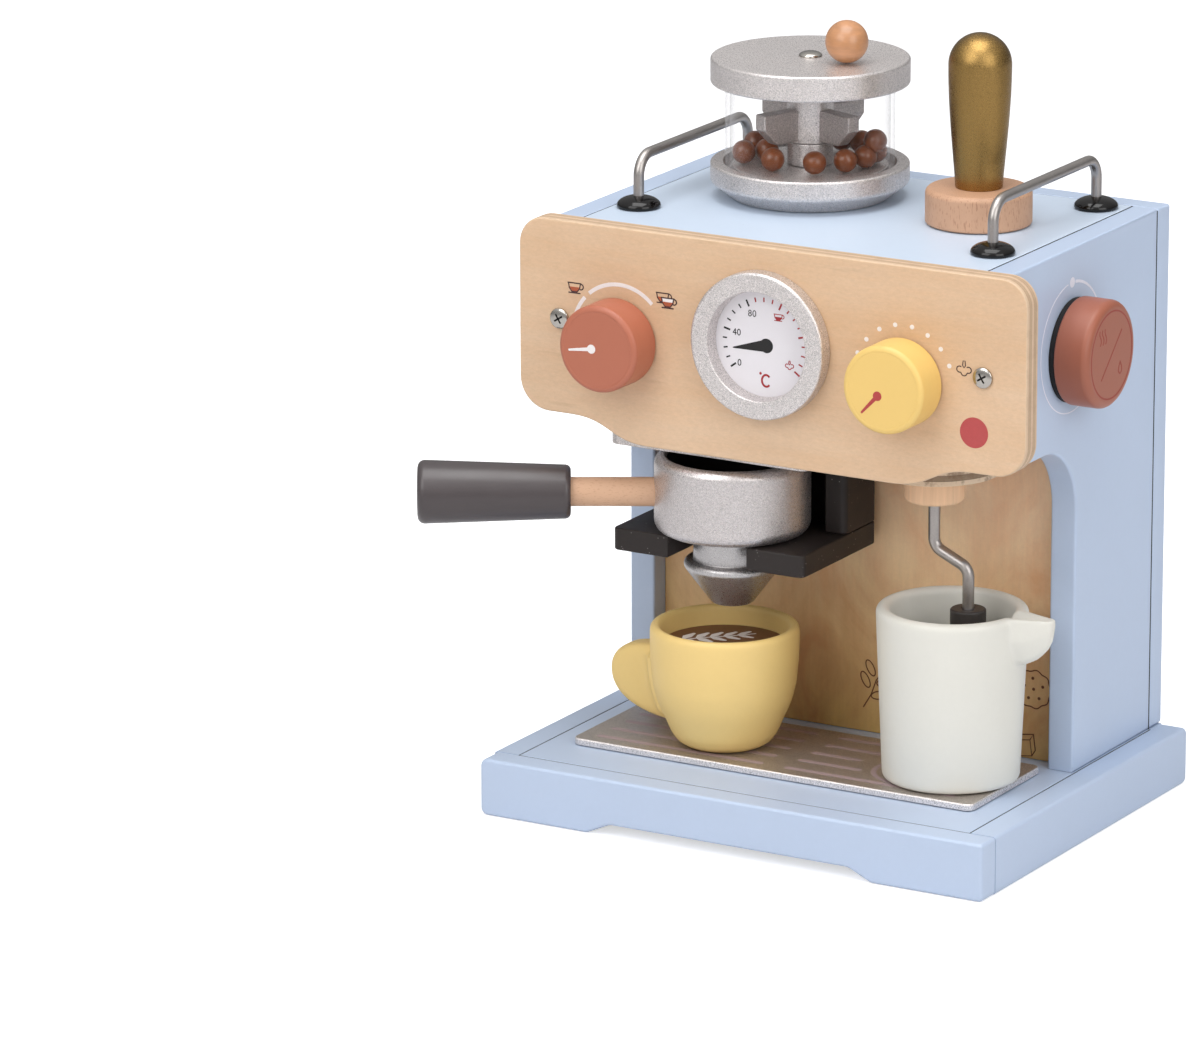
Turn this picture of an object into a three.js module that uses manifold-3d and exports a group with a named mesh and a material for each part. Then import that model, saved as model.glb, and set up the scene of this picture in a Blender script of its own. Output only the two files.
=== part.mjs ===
// Toy coffee maker: a painted wooden espresso machine with grinder, portafilter, steam wand, cup and jug.
// Millimetres, +Z up, and the front of the machine faces -Y.
// The pieces are placed from the middle of the base.
// The origin is the middle of the whole set's footprint.
import * as THREE from 'three';
import { mergeVertices } from 'three/addons/utils/BufferGeometryUtils.js';
import { ConvexGeometry } from 'three/addons/geometries/ConvexGeometry.js';
import Module from 'manifold-3d';

const wasm = await Module();
wasm.setup();

// Clearances and fineness
const glueGap = 0.2;
const restGap = 0.3;
const boreGap = 0.3;
const cutOverrun = 2;
const weldTolerance = 0.0001;
const largeSides = 32;
const middleSides = 24;
const smallSides = 12;
const rodSides = 8;
const cornerSteps = 2;
const bendSteps = 4;
const smallRound = 1;
const quarterTurn = Math.PI / 2;
const fullTurn = 2 * Math.PI;

// Base, wider than the body and reaching out in front of it
const baseSideMargin = 12.5;
const baseFrontMargin = 45;
const baseHeight = 25;
const boardThickness = 12;
const boardEdge = 1.5;
const skirtFootLength = 52;
const skirtSlopeLength = 11;
const skirtCutHeight = 5;

// Drip tray
const traySideInset = 11.5;
const trayDepth = 64;
const trayThickness = 3;
const trayCorner = 6;
const trayEdge = 0.6;
const trayInset = 36;

// Body, with an open serving bay below its head
const bodyWidth = 215;
const bodyDepth = 145;
const bayDepth = 61;
const headHeight = 84;
const archRadius = 30;
const splashThickness = 6;
const splashInset = 9;

// Front panel
const panelSideMargin = 12.5;
const panelThickness = 10;
const panelEdge = 0.8;
const panelRise = 0.6;
const panelWingHeight = 83.6;
const panelMiddleDrop = 9.4;
const panelMiddleWidth = 116;
const panelWingLength = 25;
const panelUpperCorner = 12;
const panelLowerCorner = 14;
const panelScrewInset = 7.4;
const panelScrewDrop = 42.4;
const panelScrewLength = 22;

// Screws
const screwHeadRadius = 4.4;
const screwHeadHeight = 2.2;
const screwShankRadius = 1.6;

// Front knobs
const knobRadius = 18.5;
const knobLength = 15;
const knobGap = 0.6;
const knobBackRound = 0.8;
const knobFrontRound = 1.6;
const knobBoreDepth = 9;
const knobDrop = 48.7;
const leftKnobGapShare = 0.8;
const rightKnobGapShare = 0.5;

// Side knob
const sideKnobRadius = 22.8;
const sideKnobLength = 15.5;
const sideKnobGap = 2.5;
const sideKnobFrontRound = 3;
const sideKnobBehindFront = 55.5;
const sideKnobDrop = 43.7;

// Gauge
const gaugeX = -2;
const gaugeDrop = 41;
const gaugeRadius = 30.9;
const gaugeOpeningRadius = 23.1;
const gaugeDepth = 7;
const gaugeOuterRound = 2;
const gaugeInnerRound = 1.4;
const dialRadius = 25;
const dialThickness = 1.2;

// Group head
const groupSideShare = 0.328;
const groupBehindFront = 22;
const headPlateWidth = 95;
const headPlateThickness = 12;
const headPlateCorner = 4;
const groupWidth = 92;
const groupSplashGap = 5;
const groupCorner = 3;
const groupEdge = 0.6;
const groupBlockDepth = 28;
const groupBlockHeight = 36.3;
const groupRecessRadius = 39.5;
const forkThickness = 9.7;
const forkSlotWidth = 38;

// Portafilter
const bowlRadius = 33.3;
const bowlHeight = 33;
const bowlMouthRadius = 27.5;
const bowlFloor = 12;
const bowlLowerRound = 5;
const bowlRimRound = 4;
const bowlInnerRound = 1.6;
const spoutSpigotRadius = 8;
const spoutSpigotHeight = 6;
const spoutNeckRadius = 16.6;
const spoutNeckHeight = 12.4;
const nozzleRadius = 22;
const nozzleHeight = 19;
const nozzleTipRadius = 8.7;
const nozzleRound = 2;
const spoutClearance = 8.4;
const handleTurn = -Math.PI / 6;
const dowelRadius = 6.2;
const dowelSeat = 4;
const gripStart = 68.2;
const gripLength = 64.7;
const gripInnerRadius = 11.4;
const gripOuterRadius = 13.6;
const gripRound = 2.4;
const gripBoreDepth = 20;

// Steam wand
const wandSideShare = 0.273;
const wandBehindFront = 31;
const wandMountRadius = 28.2;
const wandMountThickness = 12;
const wandCollarRadius = 12.75;
const wandCollarHeight = 12.7;
const wandCollarRound = 1.5;
const wandRodRadius = 2.5;
const wandUpperDrop = 45.3;
const wandOffset = 16.3;
const wandOffsetDrop = 7.6;
const wandBend = 6;
const wandReach = 78;
const wandTipRadius = 7.6;
const wandTipLength = 20;
const wandTipRound = 0.8;
const wandTipSeat = 8;

// Rails
const railInset = 23.5;
const railFrontFromBodyFront = 28;
const railBackFromBodyBack = 23;
const railHeight = 22;
const railRadius = 2.25;
const railBend = 9;
const railSeat = 8;
const railFootRadius = 9.4;
const railFootHeight = 5;

// Grinder
const grinderSideShare = 0.253;
const grinderBehindFront = 83;
const grinderRingRadius = 42.3;
const grinderFootRadius = 33.4;
const grinderFootHeight = 6.8;
const grinderBaseHeight = 15;
const grinderEdge = 0.8;
const grinderFloorDrop = 1.3;
const jarRadius = 36;
const jarWall = 2;
const jarGrooveDepth = 4;
const jarGrooveGap = 0.8;
const jarClearHeight = 34;
const lidThickness = 11;
const bossRadius = 9.7;
const bossHeight = 10;
const bladeHubRadius = 4.8;
const bladeReach = 28;
const bladeThickness = 8;
const bladeHeight = 13.5;
const bladeBevel = 7;
const bladeClearHeight = 11.2;
const bladeTurnShare = -0.306;
const bladePinRadius = 2.4;
const bladePinLength = 7;
const capRadius = 5;
const capHeight = 2.2;
const crankBallRadius = 9.1;
const crankReach = 21;
const crankTurnShare = -0.0414;
const crankPinRadius = 2;
const crankPinLength = 6;
const beadRadius = 5;
const beadTurnShares = [0.594, 0.708, 0.843, 0.938, 0.014, 0.079, 0.486, 0.186];
const beadReachShares = [0.98, 0.79, 0.79, 0.822, 0.889, 0.963, 0.976, 0.97];

// Tamper
const tamperSideShare = 0.211;
const tamperBehindFront = 73.9;
const tamperBaseRadius = 22.5;
const tamperBaseHeight = 15.2;
const tamperBaseRound = 2.6;
const tamperFootRadius = 10;
const tamperGripRadius = 13.3;
const tamperHandleHeight = 65.4;
const tamperPinRadius = 4;
const tamperPinLength = 9;

// Yellow cup
const cupOffset = -1;
const cupBehindTrayFront = 26.2;
const cupHeight = 52.7;
const cupFootRadius = 17;
const cupRimRadius = 31.8;
const cupWall = 4.6;
const cupRecessDepth = 15;
const cupShoulderShares = [[0.64, 0.04], [0.80, 0.24], [0.91, 0.37], [0.96, 0.49], [0.99, 0.70]];
const cupEarReach = 54;
const cupEarHeight = 34;
const cupEarLift = 6;
const cupEarThickness = 13;
const cupEarEdge = 3;
const coffeeThickness = 6;

// Jug
const jugOffset = 13.1;
const jugBehindTrayFront = 32;
const jugHeight = 74.3;
const jugFootRadius = 28.9;
const jugRimRadius = 32.1;
const jugWall = 6;
const jugFloor = 6;
const jugFootRound = 2;
const beakReach = 48;
const beakDepth = 22;
const beakWidth = 16;
const beakTipRound = 2.5;
const beakChin = 5;
const beakGrooveWidth = 7;
const beakGrooveDepth = 4;

// Sizes and places across, worked out from the sizes above. A share is taken of the room left free.
const baseWidth = bodyWidth + 2 * baseSideMargin;
const panelWidth = bodyWidth + 2 * panelSideMargin;
const trayWidth = bodyWidth - 2 * traySideInset;
const bayHalfWidth = bodyWidth / 2 - boardThickness;
const panelShoulderWidth = panelWidth - 2 * panelWingLength;
const panelScrewX = bodyWidth / 2 - panelScrewInset;
const knobRoom = panelScrewX - screwHeadRadius - gaugeRadius - 2 * knobRadius;
const leftKnobGap = leftKnobGapShare * (knobRoom + gaugeX);
const rightKnobGap = rightKnobGapShare * (knobRoom - gaugeX);
const leftKnobX = gaugeX - gaugeRadius - leftKnobGap - knobRadius;
const rightKnobX = gaugeX + gaugeRadius + rightKnobGap + knobRadius;
const headRoom = 2 * bayHalfWidth - headPlateWidth - 2 * wandMountRadius;
const groupX = groupSideShare * headRoom + headPlateWidth / 2 - bayHalfWidth;
const wandX = bayHalfWidth - wandMountRadius - wandSideShare * headRoom;
const cupX = groupX + cupOffset;
const jugX = wandX + jugOffset;
const railX = bodyWidth / 2 - railInset;
const topRoom = 2 * (railX - grinderRingRadius - tamperBaseRadius);
const grinderX = grinderSideShare * topRoom + grinderRingRadius - railX;
const tamperX = railX - tamperBaseRadius - tamperSideShare * topRoom;

// Places from front to back
const baseDepth = bodyDepth + baseFrontMargin;
const bodyBack = baseDepth / 2;
const bodyFront = bodyBack - bodyDepth;
const innerBack = bodyBack - boardThickness;
const postFront = bodyFront + bayDepth;
const splashFront = postFront + splashInset;
const trayFront = -baseDepth / 2 + trayInset;
const panelBack = bodyFront - glueGap;
const panelFront = panelBack - panelThickness;
const groupY = bodyFront + groupBehindFront;
const groupDepth = splashFront - groupSplashGap - bodyFront;
const wandY = bodyFront + wandBehindFront;
const sideKnobY = bodyFront + sideKnobBehindFront;
const railFrontY = bodyFront + railFrontFromBodyFront;
const railSpan = bodyDepth - railFrontFromBodyFront - railBackFromBodyBack;
const grinderY = bodyFront + grinderBehindFront;
const tamperY = bodyFront + tamperBehindFront;
const cupY = trayFront + cupBehindTrayFront;
const jugY = trayFront + jugBehindTrayFront;

// Heights, from the table up
const deckTop = baseHeight;
const trayTop = deckTop + restGap + trayThickness;
const cupTop = trayTop + restGap + cupHeight;
const spoutTip = cupTop + spoutClearance;
const forkTop = spoutTip + nozzleHeight + spoutNeckHeight;
const bowlBottom = forkTop + restGap;
const groupBlockBottom = forkTop + glueGap;
const headPlateBottom = groupBlockBottom + groupBlockHeight + glueGap;
const headBottom = headPlateBottom + headPlateThickness + glueGap;
const bodyTop = headBottom + headHeight;
const panelTop = bodyTop + panelRise;
const panelScrewZ = panelTop - panelScrewDrop;
const knobZ = panelTop - knobDrop;
const gaugeZ = panelTop - gaugeDrop;
const sideKnobZ = bodyTop - sideKnobDrop;
const wandMountBottom = headBottom - glueGap - wandMountThickness;
const wandCollarBottom = wandMountBottom - glueGap - wandCollarHeight;
const grinderBottom = bodyTop + restGap;
const grinderFloor = grinderBaseHeight - grinderFloorDrop;
const lidBottom = grinderBaseHeight + jarClearHeight;

// Finishes
const bluePaint = { color: 0xbdd0ea, roughness: 0.55, metalness: 0 };
const plywood = { color: 0xdebe9b, roughness: 0.6, metalness: 0 };
const beech = { color: 0xd8b29b, roughness: 0.6, metalness: 0 };
const silverPaint = { color: 0xb4b0ae, roughness: 0.4, metalness: 0.7 };
const steelRod = { color: 0x8f8d8c, roughness: 0.35, metalness: 0.8 };
const brightSteel = { color: 0xc8c8c8, roughness: 0.15, metalness: 1 };
const darkPaint = { color: 0x413c3e, roughness: 0.5, metalness: 0 };
const blackGloss = { color: 0x151210, roughness: 0.1, metalness: 0 };
const terracotta = { color: 0xc17660, roughness: 0.6, metalness: 0 };
const yellowPaint = { color: 0xf0d27d, roughness: 0.6, metalness: 0 };
const whitePaint = { color: 0xebe8de, roughness: 0.6, metalness: 0 };
const goldPaint = { color: 0x8c703c, roughness: 0.35, metalness: 0.8 };
const clearPlastic = { color: 0xf4f6f8, roughness: 0.05, metalness: 0, transparent: true, opacity: 0.3 };
const coffeeBrown = { color: 0x6b442c, roughness: 0.6, metalness: 0 };
const beadBrown = { color: 0x824b2d, roughness: 0.35, metalness: 0 };
const dialWhite = { color: 0xe4e0e4, roughness: 0.5, metalness: 0 };

const coffeeMaker = new THREE.Group();

// Adds a named piece, at a place and turn of its own.
function piece(name, geometry, finish, place = [0, 0, 0], turn = [0, 0, 0], parent = coffeeMaker) {
  const mesh = new THREE.Mesh(geometry, new THREE.MeshStandardMaterial(finish));
  mesh.name = name;
  mesh.position.set(...place);
  mesh.rotation.set(...turn);
  parent.add(mesh);
}

// The same surface with only positions, shared corners and no faces without area.
function closedSurface(geometry) {
  const bare = new THREE.BufferGeometry();
  bare.setAttribute('position', geometry.getAttribute('position'));
  bare.setIndex(geometry.index);
  const merged = mergeVertices(bare, weldTolerance);
  const corners = merged.index.array;
  const kept = [];
  for (let i = 0; i < corners.length; i += 3) {
    const [a, b, c] = [corners[i], corners[i + 1], corners[i + 2]];
    if (a !== b && b !== c && c !== a) kept.push(a, b, c);
  }
  merged.setIndex(kept);
  return merged;
}

function solidOf(geometry) {
  const surface = closedSurface(geometry);
  const vertProperties = surface.getAttribute('position').array;
  const triVerts = Uint32Array.from(surface.index.array);
  return new wasm.Manifold(new wasm.Mesh({ numProp: 3, vertProperties, triVerts }));
}

function geometryOf(solid) {
  const mesh = solid.getMesh();
  const geometry = new THREE.BufferGeometry();
  geometry.setAttribute('position', new THREE.BufferAttribute(mesh.vertProperties, 3));
  geometry.setIndex(new THREE.BufferAttribute(mesh.triVerts, 1));
  return geometry;
}

function cut(geometry, ...cutters) {
  return geometryOf(cutters.reduce((solid, cutter) => solid.subtract(solidOf(cutter)), solidOf(geometry)));
}

function join(geometry, ...others) {
  return geometryOf(others.reduce((solid, other) => solid.add(solidOf(other)), solidOf(geometry)));
}

// Local +Z turned to the front, -Y, and to the right, +X.
function toFront(geometry) {
  return geometry.rotateX(quarterTurn);
}

function toRight(geometry) {
  return geometry.rotateX(quarterTurn).rotateZ(quarterTurn);
}

// A round piece about +Z, from profile points [radius, height] that run from the bottom to the top.
function turned(profile, sides = middleSides) {
  const points = profile.map(([radius, height]) => new THREE.Vector2(radius, height));
  return closedSurface(new THREE.LatheGeometry(points, sides).rotateX(quarterTurn));
}

// Points of a quarter round from one quarter angle to the next, about a centre. A small one is a bevel.
function quarterRound(centreRadius, centreHeight, round, startQuarter, fineness = cornerSteps) {
  const steps = round < smallRound ? 1 : fineness;
  const points = [];
  for (let i = 0; i <= steps; i += 1) {
    const angle = quarterTurn * (startQuarter + i / steps);
    points.push([centreRadius + round * Math.cos(angle), centreHeight + round * Math.sin(angle)]);
  }
  return points;
}

// A disc profile with rounded lower and upper edges.
function discProfile(radius, bottom, top, lowerRound, upperRound) {
  return [
    [0, bottom],
    ...quarterRound(radius - lowerRound, bottom + lowerRound, lowerRound, -1),
    ...quarterRound(radius - upperRound, top - upperRound, upperRound, 0),
    [0, top],
  ];
}

function rod(radius, bottom, top, sides = smallSides) {
  return turned([[0, bottom], [radius, bottom], [radius, top], [0, top]], sides);
}

// A flat piece with the outline of a shape and softened edges, from 0 to its thickness along +Z.
function slab(shape, thickness, edge, curveSegments = cornerSteps) {
  const options = {
    depth: thickness - 2 * edge,
    bevelEnabled: edge > 0,
    bevelThickness: edge,
    bevelSize: edge,
    bevelOffset: -edge,
    bevelSegments: 1,
    curveSegments,
  };
  return closedSurface(new THREE.ExtrudeGeometry(shape, options).translate(0, 0, edge));
}

function roundedRectangle(left, front, right, back, corner) {
  const shape = new THREE.Shape();
  shape.moveTo(left + corner, front);
  shape.absarc(right - corner, front + corner, corner, -quarterTurn, 0, false);
  shape.absarc(right - corner, back - corner, corner, 0, quarterTurn, false);
  shape.absarc(left + corner, back - corner, corner, quarterTurn, 2 * quarterTurn, false);
  shape.absarc(left + corner, front + corner, corner, 2 * quarterTurn, 3 * quarterTurn, false);
  return shape;
}

// A box between two corners with every edge softened.
function softBox(low, high, edge) {
  const points = [];
  for (const x of [0, 1]) {
    for (const y of [0, 1]) {
      for (const z of [0, 1]) {
        const sharp = [x, y, z].map((side, axis) => (side ? high[axis] : low[axis]));
        const inner = [x, y, z].map((side, axis) => (side ? high[axis] - edge : low[axis] + edge));
        points.push(new THREE.Vector3(sharp[0], inner[1], inner[2]));
        points.push(new THREE.Vector3(inner[0], sharp[1], inner[2]));
        points.push(new THREE.Vector3(inner[0], inner[1], sharp[2]));
      }
    }
  }
  return closedSurface(new ConvexGeometry(points));
}

// A straight-sided box between two corners, for cutting.
function box(low, high) {
  const size = high.map((value, axis) => value - low[axis]);
  const middle = high.map((value, axis) => (value + low[axis]) / 2);
  return new THREE.BoxGeometry(...size).translate(...middle);
}

// A path straight from point to point, with one extrusion step from each point to the next.
class PointPath extends THREE.Curve {
  constructor(points) {
    super();
    this.points = points;
  }

  getPoint(share, target = new THREE.Vector3()) {
    const last = this.points.length - 1;
    const place = THREE.MathUtils.clamp(share, 0, 1) * last;
    const index = Math.min(Math.floor(place), last - 1);
    return target.lerpVectors(this.points[index], this.points[index + 1], place - index);
  }

  getUtoTmapping(share) {
    return share;
  }
}

// A rod bent along straight runs with rounded bends, given by its corner points.
function bentRod(corners, bend, radius) {
  const points = [corners[0]];
  for (let i = 1; i < corners.length - 1; i += 1) {
    const before = corners[i - 1].clone().sub(corners[i]).setLength(bend).add(corners[i]);
    const after = corners[i + 1].clone().sub(corners[i]).setLength(bend).add(corners[i]);
    points.push(...new THREE.QuadraticBezierCurve3(before, corners[i], after).getPoints(bendSteps));
  }
  points.push(corners[corners.length - 1]);
  const section = new THREE.Shape();
  section.moveTo(radius, 0);
  for (let i = 1; i < rodSides; i += 1) {
    const angle = (fullTurn * i) / rodSides;
    section.lineTo(radius * Math.cos(angle), radius * Math.sin(angle));
  }
  const extrudePath = new PointPath(points);
  const options = { steps: points.length - 1, bevelEnabled: false, extrudePath };
  return closedSurface(new THREE.ExtrudeGeometry(section, options));
}

// A pan-head screw: its head lies above the seat at 0 and its shank goes down.
function screw(shankLength) {
  const headRing = screwHeadHeight / 2;
  return turned([
    [0, -shankLength],
    [screwShankRadius, -shankLength],
    [screwShankRadius, 0],
    [screwHeadRadius, 0],
    [screwHeadRadius, headRing],
    [screwHeadRadius - headRing, screwHeadHeight],
    [0, screwHeadHeight],
  ], smallSides);
}

function baseFrontBoard() {
  const footEnd = baseWidth / 2 - skirtFootLength;
  const cutEnd = footEnd - skirtSlopeLength;
  const shape = new THREE.Shape();
  shape.moveTo(-baseWidth / 2, 0);
  shape.lineTo(-footEnd, 0);
  shape.lineTo(-cutEnd, skirtCutHeight);
  shape.lineTo(cutEnd, skirtCutHeight);
  shape.lineTo(footEnd, 0);
  shape.lineTo(baseWidth / 2, 0);
  shape.lineTo(baseWidth / 2, baseHeight);
  shape.lineTo(-baseWidth / 2, baseHeight);
  const back = -baseDepth / 2 + boardThickness;
  piece('base_front_board', toFront(slab(shape, boardThickness, boardEdge)), bluePaint, [0, back, 0]);
}

function baseBoards() {
  const inner = baseWidth / 2 - boardThickness;
  const front = -baseDepth / 2 + boardThickness + glueGap;
  const back = baseDepth / 2;
  const sideEdge = softBox([inner, front, 0], [baseWidth / 2, back, baseHeight], boardEdge);
  piece('base_right_board', sideEdge, bluePaint);
  const left = softBox([-baseWidth / 2, front, 0], [-inner, back, baseHeight], boardEdge);
  piece('base_left_board', left, bluePaint);
  const span = inner - glueGap;
  const backBoard = softBox([-span, innerBack + glueGap, 0], [span, back, baseHeight - glueGap], glueGap);
  piece('base_back_board', backBoard, bluePaint);
  const deck = softBox([-span, front, baseHeight - boardThickness], [span, innerBack, deckTop], glueGap);
  piece('base_deck', deck, bluePaint);
}

function dripTray() {
  const halfWidth = trayWidth / 2;
  const outline = roundedRectangle(-halfWidth, 0, halfWidth, trayDepth, trayCorner);
  piece('drip_tray', slab(outline, trayThickness, trayEdge), silverPaint, [0, trayFront, deckTop + restGap]);
}

// Side of the body, as an outline of depth and height, with the arch over the serving bay.
function sidePanelOutline() {
  const shape = new THREE.Shape();
  const bottom = deckTop + glueGap;
  shape.moveTo(postFront, bottom);
  shape.lineTo(innerBack, bottom);
  shape.lineTo(innerBack, bodyTop);
  shape.lineTo(bodyFront, bodyTop);
  shape.lineTo(bodyFront, headBottom);
  shape.absarc(postFront - archRadius, headBottom - archRadius, archRadius, quarterTurn, 0, true);
  return shape;
}

function screwHole(x, z) {
  const hole = rod(screwShankRadius + boreGap, -cutOverrun, panelScrewLength + boreGap);
  return hole.rotateX(-quarterTurn).translate(x, panelFront, z);
}

function sidePanels() {
  const outline = sidePanelOutline();
  const board = slab(outline, boardThickness, boardEdge, bendSteps);
  const right = toRight(board.clone()).translate(bayHalfWidth, 0, 0);
  const spindleHole = toRight(rod(screwShankRadius + boreGap, -boardThickness, boardThickness + cutOverrun));
  spindleHole.translate(bayHalfWidth, sideKnobY, sideKnobZ);
  const rightBored = cut(right, screwHole(panelScrewX, panelScrewZ), spindleHole);
  piece('right_side_panel', rightBored, bluePaint);
  const left = toRight(board).translate(-bodyWidth / 2, 0, 0);
  piece('left_side_panel', cut(left, screwHole(-panelScrewX, panelScrewZ)), bluePaint);
}

function bodyPanels() {
  const half = bodyWidth / 2;
  const span = bayHalfWidth - glueGap;
  const backLow = [-half, innerBack + glueGap, deckTop + glueGap];
  piece('back_panel', softBox(backLow, [half, bodyBack, bodyTop], boardEdge), bluePaint);
  const top = softBox([-span, bodyFront, bodyTop - boardThickness], [span, innerBack, bodyTop], glueGap);
  piece('top_panel', cut(top, ...railPlaces().map(railHole)), bluePaint);
  const floorLow = [-span, bodyFront, headBottom];
  const floorHigh = [span, innerBack, headBottom + boardThickness];
  piece('head_floor', softBox(floorLow, floorHigh, boardEdge), bluePaint);
  const splashLow = [-span, splashFront, deckTop + glueGap];
  const splashHigh = [span, splashFront + splashThickness, headBottom - glueGap];
  piece('splash_back', softBox(splashLow, splashHigh, glueGap), plywood);
}

// Outline of the front panel: round corners, low middle and S-shaped steps up to the wings.
function frontPanelOutline() {
  const half = panelWidth / 2;
  const wing = panelTop - panelWingHeight;
  const middle = wing - panelMiddleDrop;
  const flat = panelMiddleWidth / 2;
  const shoulder = panelShoulderWidth / 2;
  const bend = (flat + shoulder) / 2;
  const shape = new THREE.Shape();
  shape.moveTo(-flat, middle);
  shape.lineTo(flat, middle);
  shape.bezierCurveTo(bend, middle, bend, wing, shoulder, wing);
  shape.absarc(half - panelLowerCorner, wing + panelLowerCorner, panelLowerCorner, -quarterTurn, 0, false);
  const upper = panelTop - panelUpperCorner;
  shape.absarc(half - panelUpperCorner, upper, panelUpperCorner, 0, quarterTurn, false);
  shape.absarc(panelUpperCorner - half, upper, panelUpperCorner, quarterTurn, 2 * quarterTurn, false);
  const lowerX = panelLowerCorner - half;
  shape.absarc(lowerX, wing + panelLowerCorner, panelLowerCorner, 2 * quarterTurn, 3 * quarterTurn, false);
  shape.lineTo(-shoulder, wing);
  shape.bezierCurveTo(-bend, wing, -bend, middle, -flat, middle);
  return shape;
}

function knobHole(x) {
  const hole = rod(screwShankRadius + boreGap, -cutOverrun, panelThickness + cutOverrun);
  return hole.rotateX(-quarterTurn).translate(x, panelFront, knobZ);
}

function frontPanel() {
  const outline = frontPanelOutline();
  const board = toFront(slab(outline, panelThickness, panelEdge, bendSteps)).translate(0, panelBack, 0);
  const dialSeat = rod(dialRadius + boreGap, -cutOverrun, dialThickness + restGap, largeSides);
  dialSeat.rotateX(-quarterTurn).translate(gaugeX, panelFront, gaugeZ);
  const screwHoles = [screwHole(-panelScrewX, panelScrewZ), screwHole(panelScrewX, panelScrewZ)];
  const bored = cut(board, dialSeat, ...screwHoles, knobHole(leftKnobX), knobHole(rightKnobX));
  piece('front_panel', bored, plywood);
}

function panelScrews() {
  for (const [name, x] of [['left_panel_screw', -panelScrewX], ['right_panel_screw', panelScrewX]]) {
    const place = [x, panelFront - glueGap, panelScrewZ];
    piece(name, screw(panelScrewLength - restGap), brightSteel, place, [quarterTurn, 0, 0]);
  }
}

function gauge() {
  const ring = turned([
    ...quarterRound(gaugeRadius - gaugeOuterRound, gaugeDepth - gaugeOuterRound, gaugeOuterRound, 0),
    ...quarterRound(gaugeOpeningRadius + gaugeInnerRound, gaugeDepth - gaugeInnerRound, gaugeInnerRound, 1),
    [gaugeOpeningRadius, 0],
    [gaugeRadius, 0],
    [gaugeRadius, gaugeDepth - gaugeOuterRound],
  ], largeSides);
  const ringPlace = [gaugeX, panelFront - glueGap, gaugeZ];
  piece('gauge_ring', ring, silverPaint, ringPlace, [quarterTurn, 0, 0]);
  const dial = rod(dialRadius, -dialThickness, 0, largeSides);
  piece('gauge_dial', dial, dialWhite, [gaugeX, panelFront, gaugeZ], [quarterTurn, 0, 0]);
}

// A knob about +Z with a blind bore in its back at 0.
function knob(radius, length, frontRound) {
  const bore = screwShankRadius + boreGap;
  const depth = knobBoreDepth + restGap;
  return turned([
    [0, depth],
    [bore, depth],
    [bore, 0],
    ...quarterRound(radius - knobBackRound, knobBackRound, knobBackRound, -1),
    ...quarterRound(radius - frontRound, length - frontRound, frontRound, 0),
    [0, length],
  ], largeSides);
}

function frontKnobs() {
  const back = panelFront - knobGap;
  const length = panelThickness + knobGap + knobBoreDepth;
  const inside = panelBack + restGap;
  const knobs = [['left_knob', leftKnobX, terracotta], ['right_knob', rightKnobX, yellowPaint]];
  for (const [name, x, finish] of knobs) {
    piece(name, knob(knobRadius, knobLength, knobFrontRound), finish, [x, back, knobZ], [quarterTurn, 0, 0]);
    piece(`${name}_screw`, screw(length + restGap), brightSteel, [x, inside, knobZ], [-quarterTurn, 0, 0]);
  }
}

function sideKnob() {
  const face = bodyWidth / 2 + sideKnobGap;
  const turn = [0, quarterTurn, 0];
  const shape = knob(sideKnobRadius, sideKnobLength, sideKnobFrontRound);
  piece('side_knob', shape, terracotta, [face, sideKnobY, sideKnobZ], turn);
  const inside = bayHalfWidth - restGap;
  const length = boardThickness + restGap + sideKnobGap + knobBoreDepth;
  piece('side_knob_screw', screw(length), brightSteel, [inside, sideKnobY, sideKnobZ], [0, -quarterTurn, 0]);
}

function headPlate() {
  const half = headPlateWidth / 2;
  const outline = roundedRectangle(groupX - half, 0, groupX + half, groupDepth, headPlateCorner);
  const plate = slab(outline, headPlateThickness, groupEdge);
  piece('head_plate', plate, silverPaint, [0, bodyFront, headPlateBottom]);
}

function groupBlock() {
  const half = groupWidth / 2;
  const back = bodyFront + groupDepth;
  const outline = roundedRectangle(groupX - half, back - groupBlockDepth, groupX + half, back, groupCorner);
  const recess = rod(groupRecessRadius, -cutOverrun, groupBlockHeight + cutOverrun, largeSides);
  recess.translate(groupX, groupY, 0);
  const block = cut(slab(outline, groupBlockHeight, groupEdge), recess);
  piece('group_block', block, darkPaint, [0, 0, groupBlockBottom]);
}

function groupFork() {
  const half = groupWidth / 2;
  const back = bodyFront + groupDepth;
  const slot = forkSlotWidth / 2;
  const left = groupX - half + groupCorner;
  const right = groupX + half - groupCorner;
  const shape = new THREE.Shape();
  shape.moveTo(groupX + slot, bodyFront);
  shape.absarc(right, bodyFront + groupCorner, groupCorner, -quarterTurn, 0, false);
  shape.absarc(right, back - groupCorner, groupCorner, 0, quarterTurn, false);
  shape.absarc(left, back - groupCorner, groupCorner, quarterTurn, 2 * quarterTurn, false);
  shape.absarc(left, bodyFront + groupCorner, groupCorner, 2 * quarterTurn, 3 * quarterTurn, false);
  shape.lineTo(groupX - slot, bodyFront);
  shape.absarc(groupX, groupY, slot, 2 * quarterTurn, quarterTurn, true);
  shape.absarc(groupX, groupY, slot, quarterTurn, 0, true);
  const fork = slab(shape, forkThickness, groupEdge);
  piece('group_fork', fork, darkPaint, [0, 0, forkTop - forkThickness]);
}

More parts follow.
